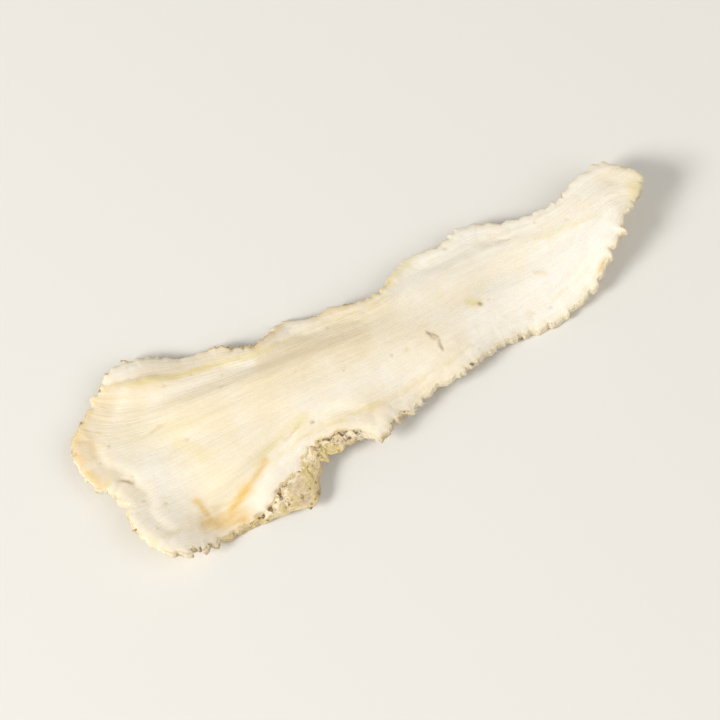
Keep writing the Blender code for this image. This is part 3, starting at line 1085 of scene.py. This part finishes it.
@dataclass(frozen=True)
class BarkFinish:
    """The root's own skin on the cut edge: tan to brown, wrinkled and dusty.

    For a pattern, its size in millimetres comes first and how much of it shows comes last. bare
    and clotted start with where a soft edge begins and where it ends.
    """

    name: str = "root_bark"
    tan: tuple = paint(227, 206, 147)
    brown: tuple = paint(134, 94, 48)
    ash: tuple = paint(222, 203, 184)
    flesh: tuple = paint(248, 235, 206)
    dirt: tuple = paint(104, 72, 40)
    dust: tuple = (1.9, 0.55)
    wrinkles: tuple = (1.6, 0.22, 0.38)
    spots: tuple = (0.7, 0.45, 0.34, 0.6)
    tears: tuple = (0.8, 0.7)
    tear_height: float = 0.6
    tear_lift: float = 0.18
    bare: tuple = (0.0, 0.5, 0.85)
    clots: tuple = (0.55, 0.6)
    clot_height: float = 0.8
    clotted: tuple = (1.36, 1.80, 0.9)
    bump: tuple = (0.18, 0.06)
    roughness: tuple = (0.78, 0.95)
    specular: float = 0.25

    def material(self, effects: Effects) -> bpy.types.Material:
        """Builds the finish.

        Args:
            effects: the shared node groups.

        Returns:
            The material.
        """
        material, graph, shader = start_material(self.name)
        place, wrap = graph.place_in_mm(), graph.attribute("wrap", vector=True)
        size, share = self.dust
        dust = graph.effect(effects.blotches, Place=place, Size=size)
        colour = graph.mix(graph.times(dust, share), self.tan, self.ash)
        length, width, share = self.wrinkles
        wrinkles = graph.effect(effects.streaks, Flow=wrap, Length=length, Width=width)
        colour = graph.mix(graph.times(wrinkles, share), colour, self.brown)
        size, cells, radius, share = self.spots
        spots = graph.effect(effects.specks, Place=place, Size=size, Share=cells, Radius=radius)
        colour = graph.mix(graph.times(spots, share), colour, self.brown)
        colour = self.bared(graph, effects, colour, place)
        colour = self.dirtied(graph, effects, colour, place)
        size, depth = self.bump
        crumb = graph.effect(effects.crumb, Place=place, Fibres=wrinkles, Grain=size, Depth=depth)
        graph.feed(
            shader,
            {
                "Base Color": colour,
                "Roughness": graph.between(dust, self.roughness),
                "Normal": crumb,
                "Specular IOR Level": self.specular,
            },
        )
        return material

    def bared(self, graph: Graph, effects: Effects, colour: Socket, place: Socket) -> Socket:
        """The flesh that shows where the bark is gone, most of it near the upper rim.

        Args:
            graph: the material's graph.
            effects: the shared node groups.
            colour: the colour so far.
            place: the place in millimetres.

        Returns:
            The colour with the bare places.
        """
        size, share = self.tears
        torn = graph.times(graph.effect(effects.blotches, Place=place, Size=size), share)
        level = graph.plus(graph.times(graph.attribute("cut_height"), self.tear_height), torn)
        level = graph.minus(graph.plus(level, self.tear_lift), graph.attribute("skin"))
        low, high, share = self.bare
        return graph.mix(graph.times(graph.span(level, low, high), share), colour, self.flesh)

    def dirtied(self, graph: Graph, effects: Effects, colour: Socket, place: Socket) -> Socket:
        """The dirt of the flakes, and the clots of it that the seam caught at the brown marks.

        Args:
            graph: the material's graph.
            effects: the shared node groups.
            colour: the colour so far.
            place: the place in millimetres.

        Returns:
            The finished colour.
        """
        size, share = self.clots
        clots = graph.times(graph.effect(effects.blotches, Place=place, Size=size), share)
        level = graph.plus(clots, graph.times(graph.attribute("cut_height"), self.clot_height))
        level = graph.plus(level, graph.attribute(Stain.SPECK.value))
        low, high, share = self.clotted
        caught = graph.times(graph.span(level, low, high), share)
        dirty = graph.math("MAXIMUM", caught, graph.attribute("darkness"))
        return graph.mix(dirty, colour, self.dirt)


@dataclass(frozen=True)
class EdgeWall:
    """The rings of points round the edge, from the upper face's rim down to the lower one's.

    skin is how much bark each column of the rings has, barked how far it slants out there, and
    ragged how torn it is.
    """

    rings: np.ndarray
    skin: np.ndarray
    barked: np.ndarray
    ragged: np.ndarray
    stride: int = 2

    def forward(self) -> np.ndarray:
        """The direction along the rim at each point of the rings."""
        ahead = np.roll(self.rings, -self.stride, axis=1)
        return unit(ahead - np.roll(self.rings, self.stride, axis=1))

    def outward(self) -> np.ndarray:
        """The direction straight out of the wall at each point of the rings."""
        return unit(np.cross(-np.gradient(self.rings, axis=0), self.forward()))

    def draw(self, chance: np.ndarray, count: int, seed: int) -> tuple[np.ndarray, np.ndarray]:
        """Draws places on the wall.

        Args:
            chance: how likely each point of the rings is.
            count: how many places.
            seed: what fixes the draw.

        Returns:
            The ring and the column of each place.
        """
        share = chance.ravel() / chance.sum()
        drawn = np.random.default_rng(seed).choice(share.size, size=count, replace=False, p=share)
        return np.unravel_index(drawn, chance.shape)


@dataclass(frozen=True)
class Holds:
    """Where small pieces take hold: places, aims and sizes, and how dark and barky each is."""

    points: np.ndarray
    aims: np.ndarray
    sizes: np.ndarray
    darkness: np.ndarray
    skin: np.ndarray

    def mesh(self, name: str) -> bpy.types.Mesh:
        """Loose points that carry all this for Geometry Nodes and for the finish."""
        mesh = bpy.data.meshes.new(name)
        mesh.from_pydata((self.points * MM).tolist(), [], [])
        values = {
            "aim": self.aims,
            "reach": self.sizes * MM,
            "darkness": self.darkness,
            "skin": self.skin,
        }
        for attribute, numbers in values.items():
            write_attribute(mesh, attribute, numbers)
        return mesh


@dataclass(frozen=True)
class RimTrim:
    """Small pieces of one form, set on the rim by Geometry Nodes.

    sizes are the smallest and the largest; the greater skew is, the more of them are small.
    """

    name: str
    seed: Seed
    count: int
    sizes: tuple
    skew: int

    def form(self, graph: Graph, given: dict) -> Socket:
        """The nodes that make one piece of unit size along +Z; each kind of trim has its own."""
        raise NotImplementedError

    def inputs(self) -> dict:
        """The tree's named inputs, each with its socket type and value."""
        return {"Seed": ("NodeSocketInt", int(self.seed))}

    def drawn_sizes(self, draw: np.random.Generator) -> np.ndarray:
        """A size in millimetres for each piece."""
        low, high = self.sizes
        return low + (high - low) * draw.random(self.count) ** self.skew

    def tree(self, finish: bpy.types.Material) -> bpy.types.NodeTree:
        """Builds the tree that sets a piece on every hold.

        Args:
            finish: the pieces' material.

        Returns:
            The tree.
        """
        tree = bpy.data.node_groups.new(self.name, "GeometryNodeTree")
        tree.interface.new_socket("Holds", in_out="INPUT", socket_type="NodeSocketGeometry")
        tree.interface.new_socket("Pieces", in_out="OUTPUT", socket_type="NodeSocketGeometry")
        for name, (kind, value) in self.inputs().items():
            made = tree.interface.new_socket(name, in_out="INPUT", socket_type=kind)
            made.default_value = value
        graph = Graph(tree)
        given = graph.inputs_given()
        aim = graph.carried("aim", "FLOAT_VECTOR")
        turned = graph.add("FunctionNodeAlignRotationToVector", {"Vector": aim}, axis="Z")
        inputs = {
            "Points": given["Holds"],
            "Instance": self.form(graph, given),
            "Rotation": turned.outputs["Rotation"],
            "Scale": graph.carried("reach", "FLOAT"),
        }
        placed = graph.add("GeometryNodeInstanceOnPoints", inputs).outputs["Instances"]
        inputs = {"Min": (0.0, 0.0, 0.0), "Max": (0.0, 0.0, 2.0 * math.pi), "Seed": given["Seed"]}
        spin = graph.add("FunctionNodeRandomValue", inputs, data_type="FLOAT_VECTOR")
        inputs = {"Instances": placed, "Rotation": spin.outputs["Value"]}
        spun = graph.add("GeometryNodeRotateInstances", inputs).outputs["Instances"]
        real = graph.add("GeometryNodeRealizeInstances", {"Geometry": spun}).outputs["Geometry"]
        dressed = graph.add("GeometryNodeSetMaterial", {"Geometry": real, "Material": finish})
        graph.add("NodeGroupOutput", {"Pieces": dressed.outputs["Geometry"]})
        return tree

    def build(self, holds: Holds, finish: bpy.types.Material) -> bpy.types.Object:
        """Sets the pieces and turns them into one plain mesh.

        Args:
            holds: where they go.
            finish: their material.

        Returns:
            The pieces, as one object in the scene.
        """
        trim = put_in_scene(self.name, holds.mesh(self.name))
        modifier = trim.modifiers.new(self.name, "NODES")
        modifier.node_group = self.tree(finish)
        values = {name: value for name, (_, value) in self.inputs().items()}
        for item in modifier.node_group.interface.items_tree:
            if item.name in values:
                modifier[item.identifier] = values[item.name]
        graph = bpy.context.evaluated_depsgraph_get()
        made = bpy.data.meshes.new_from_object(trim.evaluated_get(graph))
        made.materials.clear()
        made.materials.append(finish)
        made.shade_smooth()
        trim.modifiers.clear()
        trim.data = made
        return trim


@dataclass(frozen=True)
class TornFibres(RimTrim):
    """Fibres that the knife tore loose along the rim; they keep to the grain.

    They come out of the upper wall_share of the wall, less where the rim is calm or barked. The
    ones near the floor point up, and the ones on top of the lip point down.
    """

    name: str = "torn_fibres"
    seed: Seed = Seed.FIBRES
    count: int = 340
    sizes: tuple = (0.2, 0.9)
    skew: int = 2
    grain: tuple = (1.0, 0.0, 0.0)
    outward: tuple = (0.15, 0.60)
    side_scatter: float = 0.25
    aim_scatter: float = 0.12
    wall_share: float = 0.45
    calm_chance: float = 0.15
    bark_calm: float = 0.8
    low_edge: float = 0.7
    high_edge: float = 4.7
    slimness: float = 0.042
    curl: float = 0.24
    root: float = 0.2
    tip_width: float = 0.05
    sides: int = 4
    stations: int = 5

    def inputs(self) -> dict:
        """The tree's named inputs: the seed, and a fibre's radius and curl for its length."""
        return {
            **super().inputs(),
            "Slimness": ("NodeSocketFloat", self.slimness),
            "Curl": ("NodeSocketFloat", self.curl),
        }

    def form(self, graph: Graph, given: dict) -> Socket:
        """One fibre: a thin tapered rod that curls sideways towards its end."""
        inputs = {"Start": (0.0, 0.0, -self.root), "End": (0.0, 0.0, 1.0)}
        line = graph.add("GeometryNodeCurvePrimitiveLine", inputs).outputs["Curve"]
        inputs = {"Curve": line, "Count": self.stations}
        fine = graph.add("GeometryNodeResampleCurve", inputs).outputs["Curve"]
        share = graph.add("GeometryNodeSplineParameter").outputs["Factor"]
        bend = graph.times(given["Curl"], graph.times(share, share))
        offset = graph.add("ShaderNodeCombineXYZ", {"X": bend}).outputs["Vector"]
        bent = graph.add("GeometryNodeSetPosition", {"Geometry": fine, "Offset": offset})
        ring = graph.add("GeometryNodeCurvePrimitiveCircle", {"Resolution": self.sides})
        inputs = {
            "Curve": bent.outputs["Geometry"],
            "Profile Curve": ring.outputs["Curve"],
            "Scale": graph.times(given["Slimness"], graph.minus(1.0 + self.tip_width, share)),
            "Fill Caps": True,
        }
        return graph.add("GeometryNodeCurveToMesh", inputs).outputs["Mesh"]

    def holds(self, edge: EdgeWall) -> Holds:
        """Draws where the fibres come out, mostly where the rim is torn.

        Args:
            edge: the wall of the slice.

        Returns:
            The fibres' holds.
        """
        rows = len(edge.rings)
        upper = (np.arange(rows) < self.wall_share * rows)[:, None]
        torn = (self.calm_chance + edge.ragged) * (1.0 - self.bark_calm * edge.barked)
        place = edge.draw(upper * torn[None, :], self.count, self.seed)
        draw = np.random.default_rng(self.seed)
        points, out = edge.rings[place], edge.outward()[place]
        side = np.sign(out[:, :1] + draw.normal(0.0, self.side_scatter, (self.count, 1)))
        aims = side * self.grain + out * draw.uniform(*self.outward, (self.count, 1))
        aims += draw.normal(0.0, self.aim_scatter, (self.count, 3))
        aims[:, 2] = np.where(points[:, 2] < self.low_edge, np.abs(aims[:, 2]), aims[:, 2])
        aims[:, 2] = np.where(points[:, 2] > self.high_edge, -np.abs(aims[:, 2]), aims[:, 2])
        none = np.zeros(self.count)
        return Holds(points, unit(aims), self.drawn_sizes(draw), none, none)


@dataclass(frozen=True)
class BarkFlakes(RimTrim):
    """Crumbs and flakes of dark bark that stay on the rim.

    They lie in clusters where bark is left, seam_chance times as often in the upper seam_rows of
    the wall. dent_noise is how many dents a flake has and how fine they are.
    """

    name: str = "bark_flakes"
    seed: Seed = Seed.FLAKES
    count: int = 190
    sizes: tuple = (0.08, 0.30)
    skew: int = 3
    aim_scatter: float = 0.25
    cluster: float = 2.2
    stray_chance: float = 0.1
    bark_power: int = 3
    seam_rows: int = 3
    seam_chance: float = 9.0
    darkness: tuple = (0.0, 0.75)
    facets: tuple = (8, 5)
    oval: float = 0.7
    thinness: float = 0.25
    dents: float = 1.5
    dent_noise: tuple = (1.3, 2.0)

    def inputs(self) -> dict:
        """The tree's named inputs: the seed, and a flake's thickness and dents for its width."""
        return {
            **super().inputs(),
            "Thinness": ("NodeSocketFloat", self.thinness),
            "Dents": ("NodeSocketFloat", self.dents),
        }

    def form(self, graph: Graph, given: dict) -> Socket:
        """One flake: a dented ball, pressed flat."""
        sides, rings = self.facets
        ball = graph.add("GeometryNodeMeshUVSphere", {"Segments": sides, "Rings": rings})
        place = graph.add("GeometryNodeInputPosition").outputs["Position"]
        dents, detail = self.dent_noise
        inputs = {"Vector": place, "Scale": dents, "Detail": detail}
        inputs = {0: graph.add("ShaderNodeTexNoise", inputs).outputs["Color"], 1: MIDDLE}
        push = graph.add("ShaderNodeVectorMath", inputs, operation="SUBTRACT").outputs["Vector"]
        push = graph.scaled(push, given["Dents"])
        inputs = {"Geometry": ball.outputs["Mesh"], "Offset": push}
        dented = graph.add("GeometryNodeSetPosition", inputs).outputs["Geometry"]
        flat = graph.add("ShaderNodeCombineXYZ", {"X": 1.0, "Y": self.oval, "Z": given["Thinness"]})
        inputs = {"Geometry": dented, "Scale": flat.outputs["Vector"]}
        return graph.add("GeometryNodeTransform", inputs).outputs["Geometry"]

    def holds(self, edge: EdgeWall) -> Holds:
        """Draws where the flakes sit: on the bark, and most along the seam where flesh begins.

        Args:
            edge: the wall of the slice.

        Returns:
            The flakes' holds.
        """
        height = np.linalg.norm(np.gradient(edge.rings, axis=0), axis=2)
        seam = (np.arange(len(edge.rings)) < self.seam_rows)[:, None]
        x, y = edge.rings[0, :, 0], edge.rings[0, :, 1]
        clusters = SmoothNoise(Seed.FLAKE_CLUSTERS).at(x / self.cluster, y / self.cluster)
        kept = edge.skin**self.bark_power * (self.stray_chance + np.clip(clusters, 0.0, 1.0))
        chance = height * kept[None, :] * (1.0 + self.seam_chance * seam)
        place = edge.draw(chance, self.count, self.seed)
        draw = np.random.default_rng(self.seed)
        aims = unit(edge.outward()[place] + draw.normal(0.0, self.aim_scatter, (self.count, 3)))
        sizes = self.drawn_sizes(draw)
        points = edge.rings[place]
        points[:, 2] = np.maximum(points[:, 2], sizes)
        darkness = draw.uniform(*self.darkness, self.count)
        return Holds(points, aims, sizes, darkness, np.ones(self.count))


@dataclass(frozen=True)
class SliceShell:
    """The slice itself: two cut faces and the wall between them, as one closed shell.

    bark_left is how much bark is left anywhere, how uneven it is and how much more there is on
    the near side. bark_fade is where along the slice it gets less, and by how much.
    """

    rim: RimShape
    warp: Warp
    relief: Relief
    name: str = "slice_shell"
    thickness: float = 1.3
    rim_thinning: float = 0.22
    rim_thin_width: float = 0.9
    grid_step: float = 0.21
    rim_gap: float = 0.62
    wall_rows: int = 12
    wall_stride: int = 3
    wall_bulge: float = 0.17
    wall_roundness: int = 4
    wall_wrinkle: float = 0.10
    wrinkle_size: tuple = (0.45, 0.32)
    bark_lumps: tuple = (0.9, 0.16)
    corner_reach: float = 0.30
    corner_drop: float = 0.07
    bark_slant: float = 1.9
    bark_flap: tuple = (-16.9, 2.4, 2.0)
    bark_direction: tuple = (0.26, -0.97)
    bark_stretch: tuple = (-24.0, -17.0, -11.5, -5.0)
    bark_reach: float = 3.2
    bark_run: float = 3.4
    bark_left: tuple = (0.16, 0.9, 0.25)
    bark_side: tuple = (4.0, -4.0)
    bark_fade: tuple = (-4.0, 2.0, 0.6)
    wall_slant: float = 0.3
    rest_spots: tuple = ((-23.8, -10.9), (-7.6, 6.7), (17.6, -7.3))
    rest_flat: float = 1.35
    rest_reach: float = 3.2
    plan_shift: tuple = (0.07, 0.8, 0.0)
    soaked_through: float = 0.4

    def build(self) -> tuple[bpy.types.Object, EdgeWall]:
        """Makes the shell's mesh and its attributes.

        Returns:
            The shell, in the scene, and its wall for what is set on it.
        """
        torn = self.rim.torn()
        plan, triangles, edge = self.filled_plan(torn)
        flow = Flow.of(plan, self.rim, torn)
        upper, upper_share = self.face(flow, 1.0, Seed.UPPER_FACE)
        lower, lower_share = self.face(flow, -1.0, Seed.LOWER_FACE)
        wall, height = self.wall(upper[edge], lower[edge], flow.station[edge])
        points = (np.vstack([upper, lower, wall]) + self.plan_shift) * MM
        faces = self.faces(triangles, edge, len(plan), len(wall))
        mesh = bpy.data.meshes.new(self.name)
        mesh.from_pydata(points.tolist(), [], faces)
        share = np.concatenate([upper_share, lower_share, np.zeros(len(wall))])
        self.write_attributes(mesh, flow, edge, share, height)
        mesh.shade_smooth()
        rings = [upper[edge], *np.split(wall, self.wall_rows), lower[edge]]
        return put_in_scene(self.name, mesh), self.edge_wall(rings, flow, edge)

    def filled_plan(self, torn: np.ndarray) -> tuple[np.ndarray, np.ndarray, np.ndarray]:
        """Fills the fine rim with an even net of triangles.

        Args:
            torn: the fine rim.

        Returns:
            The plan points, the triangles that face up, and the rim's points in order.
        """
        low, high = torn.min(axis=0), torn.max(axis=0)
        rows = np.arange(low[1], high[1], self.grid_step * math.sqrt(0.75))
        columns = np.arange(low[0], high[0], self.grid_step)
        shift = (np.arange(len(rows)) % 2) * 0.5 * self.grid_step
        places = (columns[None, :] + shift[:, None]).ravel()
        grid = np.column_stack([places, np.repeat(rows, len(columns))])
        grid = grid[nearest(grid, torn)[0] > self.rim_gap * self.grid_step]
        points = [Vector(point) for point in np.vstack([torn, grid]).tolist()]
        loop = [(k, (k + 1) % len(torn)) for k in range(len(torn))]
        made = delaunay_2d_cdt(points, loop, [], INSIDE_ONLY, SAME_POINT)
        origins = {start: row for row, starts in enumerate(made[3]) for start in starts}
        kept, triangles = np.unique(np.array(made[2]), return_inverse=True)
        triangles = triangles.reshape(-1, 3)
        plan = np.array([tuple(point) for point in made[0]])[kept]
        edge = np.searchsorted(kept, [origins[k] for k in range(len(torn))])
        first, second, third = (plan[triangles[:, k]] for k in range(3))
        area = np.cross(second - first, third - first)
        triangles[area < 0.0] = triangles[area < 0.0][:, ::-1]
        return plan, triangles, edge

    def face(self, flow: Flow, side: float, seed: int) -> tuple[np.ndarray, np.ndarray]:
        """Lifts the plan to one face of the slice.

        Args:
            flow: the plan points in the grain.
            side: 1 for the upper face and -1 for the lower.
            seed: what tells one face's fine relief from the other's.

        Returns:
            The points in millimetres, and how much of a crack or pit each is in.
        """
        depth, share = self.relief.hollows(flow, seed)
        thinned = self.rim_thinning * eased(self.rim_thin_width, 0.0, flow.distance)
        half = 0.5 * (self.thickness - thinned)
        corner = self.corner_drop * eased(self.corner_reach, 0.0, flow.distance) ** 2
        z = self.warp.at(flow.x, flow.y) + self.relief.large(flow.x, flow.y, flow.distance)
        z = z + side * (half + self.relief.fine(flow, seed) - depth - corner)
        x, y = flow.x, flow.y
        if side < 0.0:
            z = self.rested(x, y, np.maximum(z, 0.0))
            x, y = self.slanted(flow)
        return np.column_stack([x, y, z]), share

    def rested(self, x: np.ndarray, y: np.ndarray, z: np.ndarray) -> np.ndarray:
        """Flattens the underside onto the floor at the rest spots."""
        for mid_x, mid_y in self.rest_spots:
            away = np.hypot(x - mid_x, y - mid_y)
            z = z * (1.0 - eased(self.rest_reach, self.rest_flat, away))
        return z

    def barked(self, x: np.ndarray, y: np.ndarray) -> np.ndarray:
        """How far the bark slants out at each place, from 0 to 1."""
        rise, full, fall, done = self.bark_stretch
        return eased(rise, full, x) * eased(done, fall, x) * (y < 0.0)

    def slanted(self, flow: Flow) -> tuple[np.ndarray, np.ndarray]:
        """Where the lower face goes past the upper one, as the bark wall slants."""
        stretch = self.barked(flow.x, flow.y)
        middle, flap_reach, flap = self.bark_flap
        slant = self.bark_slant + flap * np.exp(-(((flow.x - middle) / flap_reach) ** 2))
        reach = eased(self.bark_reach, 0.0, flow.distance)
        out = (slant * stretch + self.wall_slant * (1.0 - stretch)) * reach
        return flow.x + self.bark_direction[0] * out, flow.y + self.bark_direction[1] * out

    def wall(
        self, top: np.ndarray, bottom: np.ndarray, stations: np.ndarray
    ) -> tuple[np.ndarray, np.ndarray]:
        """The rows of points between the two faces.

        Args:
            top: the upper face's rim.
            bottom: the lower face's rim.
            stations: the distance round the rim of each.

        Returns:
            The rows' points from the top down, and how high up the wall each is.
        """
        ahead, behind = (np.roll(top, k, axis=0) for k in (-self.wall_stride, self.wall_stride))
        drop = top - bottom
        outward = unit(np.cross(drop, ahead - behind))
        slope = np.linalg.norm(drop, axis=1)
        barked = self.barked(top[:, 0], top[:, 1])
        long, wide = self.wrinkle_size
        size, lump = self.bark_lumps
        rows, heights = [], []
        for row in range(1, self.wall_rows + 1):
            down = 0.5 - 0.5 * math.cos(math.pi * row / (self.wall_rows + 1))
            round_off = 1.0 - abs(2.0 * down - 1.0) ** self.wall_roundness
            grain = SmoothNoise(Seed.WALL_GRAIN).layered(stations / long, down * slope / wide, 3)
            lumps = SmoothNoise(Seed.WALL_LUMPS).layered(stations / size, down * slope / size, 2)
            out = self.wall_bulge + self.wall_wrinkle * grain + lump * barked * lumps
            rows.append(top * (1.0 - down) + bottom * down + outward * (out * round_off)[:, None])
            heights.append(np.full(len(top), 1.0 - down))
        made = np.vstack(rows)
        made[:, 2] = np.maximum(made[:, 2], 0.0)
        return made, np.concatenate(heights)

    def edge_wall(self, rings: list, flow: Flow, edge: np.ndarray) -> EdgeWall:
        """The wall, for what is set on it.

        Args:
            rings: the rings of points from the upper face's rim down to the lower one's.
            flow: the plan points in the grain.
            edge: the rim's points in order.

        Returns:
            The wall in its place on the part.
        """
        x, y, station = flow.x[edge], flow.y[edge], flow.station[edge]
        placed = np.stack(rings) + self.plan_shift
        return EdgeWall(
            placed, self.skin(x, y, station), self.barked(x, y), self.rim.ragged(station)
        )

    def faces(self, triangles: np.ndarray, edge: np.ndarray, count: int, more: int) -> list:
        """Every face of the shell.

        Args:
            triangles: the upper face's triangles.
            edge: the rim's points in order.
            count: how many points one face has.
            more: how many points the wall's rows have.

        Returns:
            The point numbers of each face: upper face, lower face, then the wall.
        """
        rings = [edge, *np.split(2 * count + np.arange(more), self.wall_rows), edge + count]
        quads = [
            np.column_stack([above, np.roll(above, -1), np.roll(below, -1), below])
            for above, below in zip(rings, rings[1:])
        ]
        under = triangles[:, ::-1] + count
        return triangles.tolist() + under.tolist() + np.vstack(quads).tolist()

    def write_attributes(
        self,
        mesh: bpy.types.Mesh,
        flow: Flow,
        edge: np.ndarray,
        share: np.ndarray,
        height: np.ndarray,
    ) -> None:
        """Writes what the finishes read.

        Args:
            mesh: the shell's mesh.
            flow: the plan points in the grain.
            edge: the rim's points in order.
            share: how much of a crack or pit each vertex is in.
            height: how high up the wall each of the wall's points is.
        """
        rows = self.wall_rows

        def spread(values: np.ndarray) -> np.ndarray:
            """The plan's values for both faces and every row of the wall."""
            return np.concatenate([values, values, np.tile(values[edge], rows)])

        ones, none = np.ones(len(flow.x)), np.zeros(len(flow.x))
        cut = np.concatenate([ones, none, height])
        values = {
            "rim_distance": spread(flow.distance),
            "hollow": share,
            "underside": np.concatenate([none, ones, 1.0 - height]),
            "cut_height": cut,
            "skin": self.skin(spread(flow.x), spread(flow.y), spread(flow.station)),
        }
        for stain, marks in MARKS.items():
            strongest = np.max([Mark(*mark).at(flow) for mark in marks], axis=0)
            upper = np.clip(strongest, 0.0, 1.0)
            under = self.soaked_through * upper if stain in (Stain.CORE_AND_SHADE, Stain.PALE_AND_LIGHT) else none
            values[stain.value] = np.concatenate([upper, under, np.tile(upper[edge], rows)])
        flat, wrapped = spread(none), cut * self.thickness
        values["flow"] = np.column_stack([spread(flow.x), spread(flow.across), flat])
        values["wrap"] = np.column_stack([spread(flow.station), wrapped, flat])
        for name, numbers in values.items():
            write_attribute(mesh, name, numbers)

    def skin(self, x: np.ndarray, y: np.ndarray, station: np.ndarray) -> np.ndarray:
        """How much bark is left on the rim: all of it on the slant, and broken runs elsewhere."""
        level = np.zeros_like(station)
        runs = SmoothNoise(Seed.BARK_RUNS).layered(station / self.bark_run, level, 3)
        least, uneven, nearer = self.bark_left
        left = np.clip(least + uneven * runs + nearer * eased(*self.bark_side, y), 0.0, 1.0)
        start, end, lost = self.bark_fade
        return np.maximum(left * (1.0 - lost * eased(start, end, x)), self.barked(x, y))

    def dress(
        self, shell: bpy.types.Object, flesh: bpy.types.Material, bark: bpy.types.Material
    ) -> None:
        """Gives the faces, all triangles, the flesh finish and the wall, all quads, the bark.

        Args:
            shell: the shell.
            flesh: the finish of both cut faces.
            bark: the finish of the wall.
        """
        mesh = shell.data
        for finish in (flesh, bark):
            mesh.materials.append(finish)
        quads = np.array([len(face.vertices) == 4 for face in mesh.polygons])
        mesh.polygons.foreach_set("material_index", quads.astype(np.int32))
        mesh.update()


@dataclass(frozen=True)
class Lamp:
    """A square soft light: its direction in degrees, its width in metres, its power in watts."""

    name: str
    azimuth: float
    elevation: float
    size: float
    power: float


@dataclass(frozen=True)
class Studio:
    """The pale floor, the soft light and the camera, in metres."""

    azimuth: float = -30.3
    elevation: float = 68.0
    lens: float = 100.0
    distance: float = 0.226
    target: tuple = (-0.0030, -0.0008, 0.0028)
    clip: tuple = (0.01, 10.0)
    lamps: tuple = (
        Lamp("key_light", azimuth=-88.0, elevation=35.0, size=0.30, power=6.7),
        Lamp("fill_light", azimuth=40.0, elevation=50.0, size=0.75, power=2.5),
    )
    lamp_distance: float = 0.9
    floor_size: float = 2.0
    floor_gap: float = 0.01 * MM
    floor_colour: tuple = paint(234, 231, 224)
    floor_roughness: float = 0.9
    world_colour: tuple = (1.0, 0.98, 0.94, 1.0)
    world_strength: float = 0.38

    def build(self) -> None:
        """Makes everything that isn't the slice."""
        self.floor()
        for lamp in self.lamps:
            self.light(lamp)
        world = bpy.data.worlds.new("studio")
        world.use_nodes = True
        shade = world.node_tree.nodes["Background"]
        shade.inputs["Color"].default_value = self.world_colour
        shade.inputs["Strength"].default_value = self.world_strength
        bpy.context.scene.world = world
        bpy.context.scene.view_settings.view_transform = "Standard"
        self.camera()

    def direction(self, azimuth: float, elevation: float) -> Vector:
        """From the slice towards a place round it, by angles in degrees."""
        turn, rise = math.radians(azimuth), math.radians(elevation)
        level = math.cos(rise)
        return Vector((math.sin(turn) * level, -math.cos(turn) * level, math.sin(rise)))

    def floor(self) -> None:
        """A plain pale floor just under the height that the slice rests at."""
        place = (0.0, 0.0, -self.floor_gap)
        bpy.ops.mesh.primitive_plane_add(size=self.floor_size, location=place)
        floor = bpy.context.object
        floor.name = "studio_floor"
        material = bpy.data.materials.new("pale_floor")
        material.use_nodes = True
        shader = material.node_tree.nodes["Principled BSDF"]
        shader.inputs["Base Color"].default_value = self.floor_colour
        shader.inputs["Roughness"].default_value = self.floor_roughness
        floor.data.materials.append(material)

    def light(self, lamp: Lamp) -> None:
        """Sets up a lamp that faces the slice."""
        data = bpy.data.lights.new(lamp.name, "AREA")
        data.size, data.energy = lamp.size, lamp.power
        away = self.direction(lamp.azimuth, lamp.elevation)
        light = put_in_scene(lamp.name, data)
        light.location = away * self.lamp_distance
        light.rotation_euler = away.to_track_quat("Z", "Y").to_euler()

    def camera(self) -> None:
        """The camera, at the angle that the slice is photographed from."""
        data = bpy.data.cameras.new("camera")
        data.lens = self.lens
        data.clip_start, data.clip_end = self.clip
        back = self.direction(self.azimuth, self.elevation)
        camera = put_in_scene("camera", data)
        camera.location = Vector(self.target) + back * self.distance
        camera.rotation_euler = (-back).to_track_quat("-Z", "Y").to_euler()
        bpy.context.scene.camera = camera


def report(piece: bpy.types.Object) -> None:
    """Logs a finished piece and its triangles."""
    piece.data.calc_loop_triangles()
    log.info("%s: %d triangles", piece.name, len(piece.data.loop_triangles))


def main() -> None:
    """Builds the slice and its studio in order."""
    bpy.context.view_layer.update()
    effects = Effects()
    flesh = FleshFinish().material(effects)
    bark = BarkFinish().material(effects)
    builder = SliceShell(RimShape(), Warp(), Relief())
    shell, edge = builder.build()
    builder.dress(shell, flesh, bark)
    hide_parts(NODE)
    fibres, flakes = TornFibres(), BarkFlakes()
    pieces = (
        shell,
        fibres.build(fibres.holds(edge), flesh),
        flakes.build(flakes.holds(edge), bark),
    )
    for piece in pieces:
        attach(piece, BODY)
        report(piece)
    Studio().build()


if __name__ == "__main__":
    logging.basicConfig(level=logging.INFO)
    main()
